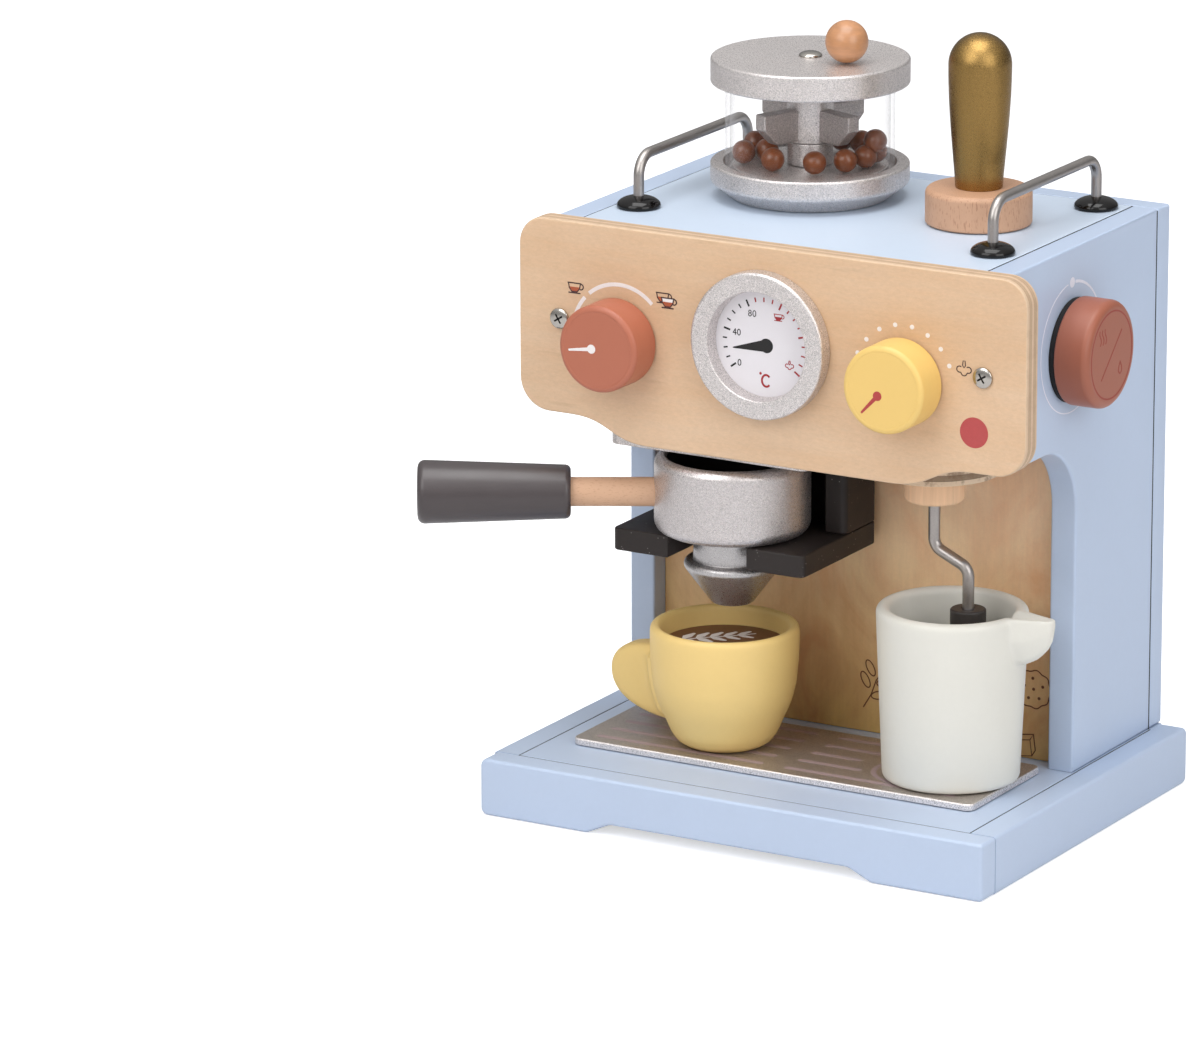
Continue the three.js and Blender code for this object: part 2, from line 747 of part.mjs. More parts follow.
// The portafilter's bowl, with a socket below for the spout and one in its wall for the dowel.
function bowl() {
  const mouthRound = bowlRimRound + bowlInnerRound;
  const rim = bowlHeight - bowlRimRound;
  const body = turned([
    [0, 0],
    ...quarterRound(bowlRadius - bowlLowerRound, bowlLowerRound, bowlLowerRound, -1),
    ...quarterRound(bowlRadius - bowlRimRound, rim, bowlRimRound, 0),
    [bowlRadius - mouthRound, bowlHeight - bowlInnerRound],
    [bowlMouthRadius, bowlHeight - mouthRound],
    [bowlMouthRadius - bowlInnerRound, bowlFloor + bowlInnerRound],
    [bowlMouthRadius - mouthRound, bowlFloor],
    [0, bowlFloor],
  ], largeSides);
  const spigot = rod(spoutSpigotRadius + boreGap, -cutOverrun, spoutSpigotHeight + boreGap, middleSides);
  const dowelHole = rod(dowelRadius + boreGap, bowlRadius - dowelSeat - boreGap, gripStart);
  return cut(body, spigot, dowelHole.rotateY(-quarterTurn).translate(0, 0, bowlHeight / 2));
}

function grip() {
  const outer = gripLength - gripRound;
  const body = turned([
    [0, 0],
    ...quarterRound(gripInnerRadius - gripRound, gripRound, gripRound, -1),
    ...quarterRound(gripOuterRadius - gripRound, outer, gripRound, 0),
    [0, gripLength],
  ]);
  return cut(body, rod(dowelRadius + boreGap, -cutOverrun, gripBoreDepth + boreGap));
}

function spout() {
  const nozzleTop = -spoutNeckHeight;
  const tip = nozzleTop - nozzleHeight;
  return turned([
    [0, tip],
    ...quarterRound(nozzleTipRadius - nozzleRound, tip + nozzleRound, nozzleRound, -1),
    [nozzleRadius, nozzleTop - nozzleRound],
    [nozzleRadius - nozzleRound, nozzleTop],
    [spoutNeckRadius, nozzleTop],
    [spoutNeckRadius, 0],
    [spoutSpigotRadius, 0],
    [spoutSpigotRadius, spoutSpigotHeight],
    [0, spoutSpigotHeight],
  ], largeSides);
}

function portafilter() {
  const place = [groupX, groupY, bowlBottom];
  piece('portafilter_spout', spout(), silverPaint, [groupX, groupY, bowlBottom - restGap]);
  const arm = new THREE.Group();
  arm.position.set(...place);
  arm.rotation.z = -handleTurn;
  coffeeMaker.add(arm);
  piece('portafilter_bowl', bowl(), silverPaint, [0, 0, 0], [0, 0, 0], arm);
  const height = bowlHeight / 2;
  const along = [0, -quarterTurn, 0];
  const dowelStart = bowlRadius - dowelSeat;
  const dowelLength = gripStart + gripBoreDepth - dowelStart;
  const dowel = rod(dowelRadius, 0, dowelLength);
  piece('portafilter_dowel', dowel, beech, [-dowelStart, 0, height], along, arm);
  piece('portafilter_grip', grip(), darkPaint, [-gripStart, 0, height], along, arm);
}

function wandMount() {
  const bore = rod(wandRodRadius + boreGap, -cutOverrun, wandMountThickness + cutOverrun);
  const mount = turned(discProfile(wandMountRadius, 0, wandMountThickness, groupEdge, groupEdge), largeSides);
  piece('wand_mount', cut(mount, bore), plywood, [wandX, wandY, wandMountBottom]);
  const collar = turned(discProfile(wandCollarRadius, 0, wandCollarHeight, wandCollarRound, glueGap));
  const collarBore = rod(wandRodRadius + boreGap, -cutOverrun, wandCollarHeight + cutOverrun);
  piece('wand_collar', cut(collar, collarBore), beech, [wandX, wandY, wandCollarBottom]);
}

function wand() {
  const bendTop = -wandUpperDrop;
  const bendLow = bendTop - wandOffsetDrop;
  const corners = [
    new THREE.Vector3(0, 0, -restGap),
    new THREE.Vector3(0, 0, bendTop),
    new THREE.Vector3(wandOffset, 0, bendLow),
    new THREE.Vector3(wandOffset, 0, -wandReach),
  ];
  const place = [wandX, wandY, headBottom];
  piece('wand_rod', bentRod(corners, wandBend, wandRodRadius), steelRod, place);
  const tipBody = turned(discProfile(wandTipRadius, 0, wandTipLength, wandTipRound, wandTipRound));
  const seatBottom = wandTipLength - wandTipSeat - boreGap;
  const seat = rod(wandRodRadius + boreGap, seatBottom, wandTipLength + cutOverrun);
  const tipBottom = headBottom - wandReach + wandTipSeat - wandTipLength;
  piece('wand_tip', cut(tipBody, seat), darkPaint, [wandX + wandOffset, wandY, tipBottom]);
}

// Where the four rail ends go down: side, end and place.
function railPlaces() {
  return ['left', 'right'].flatMap((side) => ['front', 'back'].map((end) => ({
    name: `${side}_rail_${end}_foot`,
    x: side === 'left' ? -railX : railX,
    y: end === 'front' ? railFrontY : railFrontY + railSpan,
  })));
}

function railHole({ x, y }) {
  const hole = rod(railRadius + boreGap, bodyTop - railSeat - boreGap, bodyTop + cutOverrun);
  return hole.translate(x, y, 0);
}

function rails() {
  const top = railHeight;
  const corners = [
    new THREE.Vector3(0, 0, -railSeat),
    new THREE.Vector3(0, 0, top),
    new THREE.Vector3(0, railSpan, top),
    new THREE.Vector3(0, railSpan, -railSeat),
  ];
  for (const [name, x] of [['left_rail', -railX], ['right_rail', railX]]) {
    const shape = bentRod(corners, railBend, railRadius);
    piece(name, shape, steelRod, [x, railFrontY, bodyTop]);
  }
  const bore = rod(railRadius + boreGap, -cutOverrun, railFootHeight + cutOverrun);
  for (const { name, x, y } of railPlaces()) {
    piece(name, cut(railFoot(), bore), blackGloss, [x, y, bodyTop + restGap]);
  }
}

function railFoot() {
  const profile = [[0, 0]];
  for (let i = 0; i <= bendSteps; i += 1) {
    const angle = (quarterTurn * i) / bendSteps;
    profile.push([railFootRadius * Math.cos(angle), railFootHeight * Math.sin(angle)]);
  }
  return turned(profile, smallSides);
}

function grinderBase() {
  const grooveInner = jarRadius - jarWall - jarGrooveGap;
  const grooveOuter = jarRadius + jarGrooveGap;
  const grooveFloor = grinderBaseHeight - jarGrooveDepth;
  return turned([
    [0, 0],
    [grinderFootRadius, 0],
    [grinderRingRadius - grinderEdge, grinderFootHeight - grinderEdge],
    [grinderRingRadius, grinderFootHeight],
    [grinderRingRadius, grinderBaseHeight - grinderEdge],
    [grinderRingRadius - grinderEdge, grinderBaseHeight],
    [grooveOuter, grinderBaseHeight],
    [grooveOuter, grooveFloor],
    [grooveInner, grooveFloor],
    [grooveInner, grinderFloor],
    [0, grinderFloor],
  ], largeSides);
}

function jar() {
  const bottom = grinderBaseHeight - jarGrooveDepth + restGap;
  const top = lidBottom - restGap;
  const inner = jarRadius - jarWall;
  const corners = [[jarRadius, bottom], [jarRadius, top], [inner, top], [inner, bottom]];
  return turned([...corners, corners[0]], largeSides);
}

function lid() {
  const top = lidBottom + lidThickness;
  const disc = turned(discProfile(grinderRingRadius, lidBottom, top, grinderEdge, grinderEdge), largeSides);
  const capHole = rod(screwShankRadius + boreGap, lidBottom - cutOverrun, top + cutOverrun);
  const crankHole = rod(crankPinRadius + boreGap, top - crankPinLength - boreGap, top + cutOverrun);
  return cut(disc, capHole, crankHole.translate(...crankPlace(0)));
}

function crankPlace(height) {
  const angle = fullTurn * crankTurnShare;
  return [crankReach * Math.cos(angle), crankReach * Math.sin(angle), height];
}

// The blades: a cross with bevelled lower corners on the shaft that the lid turns.
function blades() {
  const bottom = grinderFloor + bladeClearHeight;
  const top = bottom + bladeHeight;
  const shape = new THREE.Shape();
  shape.moveTo(-bladeReach + bladeBevel, bottom);
  shape.lineTo(bladeReach - bladeBevel, bottom);
  shape.lineTo(bladeReach, bottom + bladeBevel);
  shape.lineTo(bladeReach, top);
  shape.lineTo(-bladeReach, top);
  shape.lineTo(-bladeReach, bottom + bladeBevel);
  const half = bladeThickness / 2;
  const first = toFront(slab(shape, bladeThickness, groupEdge)).translate(0, half, 0);
  const second = first.clone().rotateZ(quarterTurn);
  const hub = rod(bladeHubRadius, grinderFloor + bossHeight + restGap, lidBottom - restGap);
  const pinEnd = grinderFloor + bossHeight - bladePinLength;
  const pin = rod(bladePinRadius, pinEnd, bottom);
  const shaftBore = rod(screwShankRadius + boreGap, bottom + bladeHeight, lidBottom);
  return cut(join(first, second, hub, pin), shaftBore);
}

function boss() {
  const bottom = grinderFloor + restGap;
  const top = grinderFloor + bossHeight;
  const bore = rod(bladePinRadius + boreGap, top - bladePinLength - boreGap, top + cutOverrun);
  return cut(rod(bossRadius, bottom, top, middleSides), bore);
}

// The chrome cap screw: a dome on the lid and a shank down into the shaft.
function capScrew() {
  const seat = lidBottom + lidThickness + glueGap;
  const shank = lidBottom - lidThickness / 2;
  return turned([
    [0, shank],
    [screwShankRadius, shank],
    [screwShankRadius, seat],
    [capRadius, seat],
    [capRadius * Math.cos(quarterTurn / 3), seat + capHeight / 2],
    [capRadius / 2, seat + capHeight * Math.sin(2 * quarterTurn / 3)],
    [0, seat + capHeight],
  ], smallSides);
}

function crankBall() {
  const seat = lidBottom + lidThickness + restGap;
  const ball = new THREE.SphereGeometry(crankBallRadius, middleSides, smallSides);
  ball.rotateX(quarterTurn).translate(0, 0, seat + crankBallRadius);
  const pin = rod(crankPinRadius, seat - restGap - crankPinLength, seat + crankPinRadius);
  return join(ball, pin).translate(...crankPlace(0));
}

function beads() {
  const ringRadius = jarRadius - jarWall - beadRadius - restGap;
  const height = grinderBottom + grinderFloor + restGap + beadRadius;
  beadTurnShares.forEach((turnShare, index) => {
    const angle = fullTurn * turnShare;
    const reach = ringRadius * beadReachShares[index];
    const place = [grinderX + reach * Math.cos(angle), grinderY + reach * Math.sin(angle), height];
    const ball = closedSurface(new THREE.SphereGeometry(beadRadius, rodSides, rodSides / 2 + 1));
    piece(`bead_${index + 1}`, ball, beadBrown, place, [quarterTurn, 0, 0]);
  });
}

function grinder() {
  const place = [grinderX, grinderY, grinderBottom];
  piece('grinder_base', grinderBase(), silverPaint, place);
  piece('grinder_boss', boss(), silverPaint, place);
  piece('grinder_jar', jar(), clearPlastic, place);
  piece('grinder_lid', lid(), silverPaint, place);
  piece('grinder_cap_screw', capScrew(), brightSteel, place);
  piece('grinder_crank_ball', crankBall(), beech, place);
  piece('grinder_blades', blades(), silverPaint, place, [0, 0, fullTurn * bladeTurnShare]);
  beads();
}

function tamper() {
  const base = turned(discProfile(tamperBaseRadius, 0, tamperBaseHeight, tamperBaseRound, tamperBaseRound));
  const pinBottom = tamperBaseHeight - tamperPinLength;
  const bore = rod(tamperPinRadius + boreGap, pinBottom - boreGap, tamperBaseHeight + cutOverrun);
  const place = [tamperX, tamperY, bodyTop + restGap];
  piece('tamper_base', cut(base, bore), beech, place);
  const foot = tamperBaseHeight + glueGap;
  const domeCentre = foot + tamperHandleHeight - tamperGripRadius;
  const handle = turned([
    [0, pinBottom],
    [tamperPinRadius, pinBottom],
    [tamperPinRadius, foot],
    [tamperFootRadius, foot],
    ...quarterRound(0, domeCentre, tamperGripRadius, 0, bendSteps),
  ]);
  piece('tamper_handle', handle, goldPaint, place);
}

// The cup without its recess: a rounded bowl shape and an ear on its left.
function cupBody() {
  const shoulder = cupShoulderShares.map(([wide, high]) => [cupRimRadius * wide, cupHeight * high]);
  const lip = cupWall / 2;
  const outside = turned([
    [0, 0],
    [cupFootRadius, 0],
    ...shoulder,
    ...quarterRound(cupRimRadius - lip, cupHeight - lip, lip, 0),
    ...quarterRound(cupRimRadius - lip, cupHeight - lip, lip, 1),
    [0, cupHeight - lip],
  ], largeSides);
  return join(outside, cupEar());
}

function cupEar() {
  const bottom = cupEarLift;
  const top = bottom + cupEarHeight;
  const root = cupFootRadius;
  const half = cupEarHeight / 2;
  const shape = new THREE.Shape();
  shape.moveTo(-root, bottom);
  shape.bezierCurveTo(-cupRimRadius, bottom, -cupEarReach, bottom + half / 2, -cupEarReach, top - half / 2);
  shape.bezierCurveTo(-cupEarReach, top, -cupEarReach + half / 2, top, -cupRimRadius, top);
  shape.lineTo(-root, top);
  const ear = toFront(slab(shape, cupEarThickness, cupEarEdge));
  return ear.translate(0, cupEarThickness / 2, 0);
}

function cup() {
  const inner = cupRimRadius - cupWall;
  const floor = cupHeight - cupRecessDepth;
  const recess = rod(inner, floor, cupHeight + cutOverrun, largeSides);
  const place = [cupX, cupY, trayTop + restGap];
  piece('cup', cut(cupBody(), recess), yellowPaint, place);
  const disc = rod(inner - restGap, floor + restGap, floor + restGap + coffeeThickness, largeSides);
  piece('coffee_disc', disc, coffeeBrown, place);
}

// The jug's beak: wide and deep at the wall, and narrow with a rounded tip at its far end.
function beak() {
  const root = jugRimRadius - jugWall;
  const low = jugHeight - beakDepth;
  const chin = jugHeight - beakChin;
  const tip = beakReach - beakTipRound;
  const points = [];
  for (const side of [-1, 1]) {
    points.push(new THREE.Vector3(root, side * beakWidth / 2, jugHeight));
    points.push(new THREE.Vector3(root, side * beakTipRound, low));
    points.push(new THREE.Vector3(jugRimRadius, side * beakTipRound, low));
  }
  for (let i = -bendSteps; i <= bendSteps; i += 1) {
    const angle = (quarterTurn * i) / bendSteps;
    const x = tip + beakTipRound * Math.cos(angle);
    const y = beakTipRound * Math.sin(angle);
    points.push(new THREE.Vector3(x, y, jugHeight), new THREE.Vector3(x, y, chin));
  }
  return closedSurface(new ConvexGeometry(points));
}

// A shallow pouring groove along the top of the beak.
function beakGroove() {
  const half = beakGrooveWidth / 2;
  const shape = new THREE.Shape();
  shape.moveTo(-half, cutOverrun);
  shape.lineTo(0, -beakGrooveDepth);
  shape.lineTo(half, cutOverrun);
  const start = jugRimRadius - 2 * jugWall;
  const run = beakReach - beakTipRound - start;
  const groove = toRight(slab(shape, run, 0));
  return groove.translate(start, 0, jugHeight);
}

function jug() {
  const lip = jugWall / 2;
  const body = turned([
    [0, 0],
    ...quarterRound(jugFootRadius - jugFootRound, jugFootRound, jugFootRound, -1),
    ...quarterRound(jugRimRadius - lip, jugHeight - lip, lip, 0),
    ...quarterRound(jugRimRadius - lip, jugHeight - lip, lip, 1),
    [0, jugHeight - lip],
  ], largeSides);
  const hollow = turned([
    [0, jugFloor],
    [jugFootRadius - jugWall, jugFloor],
    [jugRimRadius - jugWall, jugHeight],
    [jugRimRadius - jugWall, jugHeight + cutOverrun],
    [0, jugHeight + cutOverrun],
  ], largeSides);
  const shape = cut(join(body, beak()), hollow, beakGroove());
  piece('jug', shape, whitePaint, [jugX, jugY, trayTop + restGap]);
}

baseFrontBoard();
baseBoards();
dripTray();
sidePanels();
bodyPanels();
frontPanel();
panelScrews();
gauge();
frontKnobs();
sideKnob();
headPlate();
groupBlock();
groupFork();
portafilter();
wandMount();
wand();
rails();
grinder();
tamper();
cup();
jug();

// The origin is brought to the middle of the footprint, on the surface that the set stands on.
const footprint = new THREE.Box3().setFromObject(coffeeMaker, true);
const middle = footprint.getCenter(new THREE.Vector3());
coffeeMaker.position.set(-middle.x, -middle.y, -footprint.min.z);

export default coffeeMaker;
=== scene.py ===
"""Looks of a toy coffee maker: boards, plywood front, grinder, portafilter, wand, cup and jug."""

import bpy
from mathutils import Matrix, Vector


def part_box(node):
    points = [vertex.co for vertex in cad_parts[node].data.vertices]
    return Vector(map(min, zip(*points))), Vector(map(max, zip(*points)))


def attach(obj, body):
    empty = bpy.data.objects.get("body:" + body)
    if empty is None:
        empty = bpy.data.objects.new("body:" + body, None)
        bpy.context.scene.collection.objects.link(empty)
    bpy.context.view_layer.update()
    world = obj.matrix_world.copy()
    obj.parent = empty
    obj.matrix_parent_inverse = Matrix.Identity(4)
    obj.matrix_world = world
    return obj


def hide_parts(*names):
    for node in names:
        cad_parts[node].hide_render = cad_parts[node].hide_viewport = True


bl_info = {
    "name": "Toy Coffee Maker",
    "version": (1, 0, 0),
    "blender": (4, 5, 0),
    "location": "3D View > Sidebar > Coffee Maker",
    "description": "Builds the finished looks of a toy coffee maker on its packed solids",
    "category": "Add Mesh",
}

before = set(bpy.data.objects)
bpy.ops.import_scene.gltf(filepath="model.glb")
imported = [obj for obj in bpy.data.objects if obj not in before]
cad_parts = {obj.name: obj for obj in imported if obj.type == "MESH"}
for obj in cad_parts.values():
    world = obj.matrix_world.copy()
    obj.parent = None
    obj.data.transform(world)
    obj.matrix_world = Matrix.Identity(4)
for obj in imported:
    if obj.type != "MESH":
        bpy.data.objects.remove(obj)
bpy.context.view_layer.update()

import math
from random import Random

import bmesh
import bpy
from mathutils import Matrix, Vector

MM = 0.001
QUARTER = math.pi / 2
TURN = 2 * math.pi


def span(node):
    """Lowest and highest corner of a CAD node, in millimetres."""
    low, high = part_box(node)
    return low / MM, high / MM


def centre(node):
    low, high = span(node)
    return (low + high) / 2


# The machine's own middle in the frame, in millimetres. The base's side boards have
# theirs a little further back.
SIDE_BOARDS_BACK = 6.1
MACHINE = Vector((centre("front_panel").x, centre("base_left_board").y - SIDE_BOARDS_BACK, 0))


def srgb(red, green, blue):
    """A linear colour from its screen values of 0 to 255."""
    shares = [part / 255 for part in (red, green, blue)]
    return tuple(s / 12.92 if s <= 0.04045 else ((s + 0.055) / 1.055) ** 2.4 for s in shares)


# ---------------------------------------------------------------- values a user would change


def paint(label, red, green, blue):
    return bpy.props.FloatVectorProperty(
        name=label,
        description=f"Colour of the {label.lower()}",
        subtype="COLOR",
        size=3,
        min=0,
        max=1,
        default=srgb(red, green, blue),
    )


def length(label, millimetres):
    return bpy.props.FloatProperty(
        name=label,
        description=f"{label}, in metres",
        unit="LENGTH",
        precision=5,
        min=0,
        default=millimetres * MM,
    )


class CoffeeMakerPaints(bpy.types.PropertyGroup):
    """Colours of the paints, woods, metals and inks"""

    body: paint("Body paint", 182, 197, 220)
    terracotta: paint("Terracotta paint", 174, 101, 76)
    yellow: paint("Yellow paint", 228, 192, 112)
    cream: paint("Cream paint", 219, 217, 208)
    ply: paint("Plywood face", 220, 191, 161)
    ply_shade: paint("Plywood shade", 206, 168, 130)
    beech: paint("Beech", 196, 154, 124)
    beech_fleck: paint("Beech fleck", 168, 120, 92)
    silver: paint("Silver paint", 216, 210, 208)
    steel: paint("Steel", 178, 172, 168)
    dark: paint("Dark paint", 41, 35, 33)
    gold: paint("Gold paint", 152, 122, 72)
    coffee: paint("Coffee", 112, 72, 44)
    bead: paint("Bead varnish", 114, 59, 24)
    dial: paint("Dial", 224, 220, 224)
    ball: paint("Crank ball", 186, 132, 90)
    white_ink: paint("White ink", 233, 227, 225)
    red_ink: paint("Red ink", 172, 58, 58)
    brown_ink: paint("Brown ink", 66, 40, 38)
    black_ink: paint("Black ink", 12, 9, 10)
    tray_ink: paint("Tray ink", 160, 140, 142)
    burn: paint("Burnt line", 104, 66, 40)


class CoffeeMakerSizes(bpy.types.PropertyGroup):
    """Sizes of the edges, the inks and the fine parts"""

    board_edge: length("Board edge round", 1.5)
    panel_edge: length("Panel edge round", 1.2)
    seam_edge: length("Seam edge round", 0.6)
    ink: length("Ink height", 0.06)
    flake: length("Metal flake", 0.29)
    fine_voxel: length("Voxel of moulded pieces", 0.75)


def size(name):
    """One of the sizes, in millimetres."""
    return getattr(bpy.context.scene.coffee_maker_sizes, name) / MM


def colour_of(source):
    """A linear colour from a paint's name, a paint and three shares, or screen values."""
    if isinstance(source, str):
        source = (source, 1, 1, 1)
    if isinstance(source[0], str):
        parts = getattr(bpy.context.scene.coffee_maker_paints, source[0])
        return tuple(min(1.0, part * share) for part, share in zip(parts, source[1:]))
    return srgb(*source)


# ---------------------------------------------------------------- shader expressions


def term(operation, reflected=False):
    """A method that joins two terms by a Math node."""

    def method(self, other):
        pair = {0: other, 1: self} if reflected else {0: self, 1: other}
        return self.nodes.node("Math", {"operation": operation}, pair)

    return method


class Value:
    """One output of a node, so that sums with it are written as plain expressions."""

    def __init__(self, nodes, socket):
        self.nodes = nodes
        self.socket = socket

    __add__, __radd__ = term("ADD"), term("ADD", True)
    __sub__, __rsub__ = term("SUBTRACT"), term("SUBTRACT", True)
    __mul__, __rmul__ = term("MULTIPLY"), term("MULTIPLY", True)
    __truediv__, __rtruediv__ = term("DIVIDE"), term("DIVIDE", True)
    __pow__, __rpow__ = term("POWER"), term("POWER", True)
    most = term("MAXIMUM")


class Nodes:
    """A node tree that grows by one method."""

    def __init__(self, tree):
        self.tree = tree

    def node(self, kind, settings=None, sockets=None, output=0):
        """Adds a node: its settings come first, then the values or links of its sockets."""
        made = self.tree.nodes.new("ShaderNode" + kind)
        for name, value in (settings or {}).items():
            if name == "stops":
                self.set_stops(made.color_ramp, value)
            else:
                setattr(made, name, value)
        for key, value in (sockets or {}).items():
            self.feed(made.inputs[key], value)
        return Value(self, made.outputs[output]) if made.outputs else None

    @staticmethod
    def set_stops(ramp, stops):
        while len(ramp.elements) < len(stops):
            ramp.elements.new(0.5)
        for element, (place, colour) in zip(ramp.elements, stops):
            element.position = place
            element.color = (*colour, 1)

    def feed(self, socket, value):
        if isinstance(value, Value):
            self.tree.links.new(value.socket, socket)
        elif socket.type == "RGBA":
            socket.default_value = (*value, 1)
        else:
            socket.default_value = value

    def mix(self, factor, first, second):
        """Colours mixed by a factor."""
        return self.node("Mix", {"data_type": "RGBA"}, {0: factor, 6: first, 7: second}, 2)

    def tint(self, colour, factor):
        """A colour made lighter or darker by a factor."""
        return self.node("VectorMath", {"operation": "SCALE"}, {0: colour, 3: factor})

    def between(self, value, low, high, to_low=0.0, to_high=1.0):
        """The value's place between two levels, held at the ends."""
        sockets = {0: value, 1: low, 2: high, 3: to_low, 4: to_high}
        return self.node("MapRange", {"clamp": True}, sockets)

    def part(self, vector, axis):
        return self.node("SeparateXYZ", None, {0: vector}, axis)


class Finish(Nodes):
    """The material of one finish, on the object's own coordinates in metres."""

    def __init__(self, name, **shader):
        self.material = bpy.data.materials.new(name)
        self.material.use_nodes = True
        super().__init__(self.material.node_tree)
        self.shader = self.tree.nodes["Principled BSDF"]
        self.place = self.node("TexCoord", output="Object")
        for socket, value in shader.items():
            self.set(socket, value)

    def set(self, socket, value):
        self.feed(self.shader.inputs[socket.replace("_", " ")], value)

    def stretched(self, x, y, z):
        return self.node("VectorMath", {"operation": "MULTIPLY"}, {0: self.place, 1: (x, y, z)})

    def noise(self, scale, detail=3.0, rough=0.55, where=None, bend=0.0):
        sockets = {"Vector": where or self.place, "Scale": scale, "Detail": detail}
        return self.node("TexNoise", None, {**sockets, "Roughness": rough, "Distortion": bend})

    def cells(self, scale, output="Distance"):
        return self.node("TexVoronoi", None, {"Vector": self.place, "Scale": scale}, output)

    def wear(self, colour, rough, height, strength, depth):
        """Feeds the colour and roughness, as far as they vary, and a relief of depth metres."""
        if colour:
            self.set("Base Color", colour)
        if rough:
            self.set("Roughness", rough)
        sockets = {"Height": height, "Strength": strength, "Distance": depth}
        self.set("Normal", self.node("Bump", None, sockets))
        return self


# ---------------------------------------------------------------- finishes


def lacquer(name, colour, rough=0.42, speck=0.5, grain=0.6):
    """Satin paint on wood: faint clouds, a fine skin and a few dust specks."""
    made = Finish(name, Coat_Weight=0.12, Coat_Roughness=0.3)
    colour = colour_of(colour)
    clouds, mist = made.noise(38, 4, 0.6), made.noise(420, 2, 0.6)
    rare = made.between(made.noise(23, 1), 0.6, 0.66)
    dust = made.between(made.cells(105), 0.035, 0.05, 1, 0) * rare
    clean = made.tint(colour, 0.965 + 0.05 * clouds + 0.03 * mist)
    tone = made.mix(dust * speck, clean, made.tint(colour, 0.55))
    relief = made.noise(900, 2, 0.7) * grain + 0.4 * dust
    return made.wear(tone, rough - 0.08 + 0.14 * clouds, relief, 0.16, 0.00012)


def matt(name, colour, rough, scale, strength, depth):
    """Plain dark colour with a fine grain, used for painted shade."""
    made = Finish(name, Base_Color=srgb(*colour), Roughness=rough)
    return made.wear(None, None, made.noise(scale), strength, depth)


def charcoal(name):
    """Charcoal paint with fine pale specks."""
    made = Finish(name, IOR=1.38)
    specks = made.between(made.cells(460), 0.09, 0.16, 1, 0)
    rare = made.between(made.noise(160, 1), 0.46, 0.58)
    clouds = made.noise(60, 4)
    base = made.tint(colour_of("dark"), 0.86 + 0.26 * clouds)
    tone = made.mix(specks * rare * 0.6, base, srgb(140, 134, 132))
    return made.wear(tone, 0.44 + 0.16 * clouds, made.noise(1300, 2), 0.25, 0.00014)


def grip_satin(name):
    """Charcoal satin paint of the handle."""
    made = Finish(name, Coat_Weight=0.15, Coat_Roughness=0.25)
    clouds, grain = made.noise(75, 4), made.noise(1500, 2)
    tone = made.tint(srgb(67, 60, 61), 0.88 + 0.16 * clouds + 0.1 * grain)
    relief = made.noise(1100, 2) + 0.4 * clouds
    return made.wear(tone, 0.3 + 0.16 * clouds, relief, 0.2, 0.00012)


def rubbery(name):
    made = Finish(name, Roughness=0.5)
    tone = made.tint(srgb(52, 47, 45), 0.8 + 0.45 * made.noise(500, 3))
    return made.wear(tone, None, made.noise(900, 3), 0.3, 0.0002)


def sparkle(name, colour, metal, rough, contrast, grade):
    """Metallic paint: flakes that differ in brightness and lean."""
    made = Finish(name, Metallic=metal)
    flake = grade / (size("flake") * MM)
    hue = made.cells(flake, "Color")
    grain, fine = made.part(hue, 0), made.noise(flake * 0.55, 2, 0.8)
    patches = 0.06 * (made.noise(45, 3) - 0.5)
    tone = (1 - contrast * 0.58) + contrast * grain + 1.1 * contrast * (fine - 0.5) + patches
    sheen = rough - 0.1 + 0.2 * made.part(hue, 1)
    return made.wear(made.tint(colour_of(colour), tone), sheen, grain + fine, 0.35, 0.00011)


def steel(name):
    """Satin steel rod, faintly mottled."""
    made = Finish(name, Metallic=0.9)
    speck, patches = made.noise(1500, 3, 0.7), made.noise(130, 3)
    tone = made.tint(colour_of("steel"), 0.62 + 0.3 * speck + 0.2 * patches)
    return made.wear(tone, 0.24 + 0.2 * patches, speck, 0.16, 0.00008)


def chrome(name):
    made = Finish(name, Metallic=1.0)
    wear = made.noise(700, 3)
    tone = made.tint(srgb(190, 185, 178), 0.8 + 0.26 * wear)
    return made.wear(tone, 0.1 + 0.16 * wear, made.noise(1900, 2), 0.08, 0.00005)


def gloss(name):
    made = Finish(name, IOR=1.4)
    haze = made.noise(240, 3)
    tone = made.tint(srgb(9, 7, 7), 0.7 + 0.6 * haze)
    return made.wear(tone, 0.07 + 0.1 * haze, made.noise(380, 2), 0.05, 0.0001)


def veneer(name, stretch, share=1.0):
    """Veneer: long soft streaks, slow flames and short dark pores along the grain."""
    made = Finish(name)
    face, shade = colour_of(("ply", *[share] * 3)), colour_of(("ply_shade", *[share] * 3))
    along = made.stretched(*stretch)
    flames = made.noise(9, 3, 0.5, along, 0.9)
    streaks = made.noise(62, 5, 0.65, along, 0.25)
    fibres = made.noise(330, 3, 0.7, along)
    pores = made.between(made.noise(260, 2, 0.6, along), 0.66, 0.76)
    mottle = made.noise(950, 3, 0.8, made.stretched(*[0.35 + 0.65 * part for part in stretch]))
    depth = 0.35 * flames + 0.42 * streaks + 0.2 * fibres + 0.12 * made.noise(30, 3) - 0.08
    grown = made.mix(made.between(depth, 0.28, 0.66), face, shade)
    wood = made.tint(grown, 0.8 + 0.28 * mottle + 0.1 * fibres)
    tone = made.mix(pores * 0.3, wood, made.tint(shade, 0.72))
    return made.wear(tone, 0.42 + 0.16 * streaks, fibres - 0.7 * pores, 0.22, 0.00012)


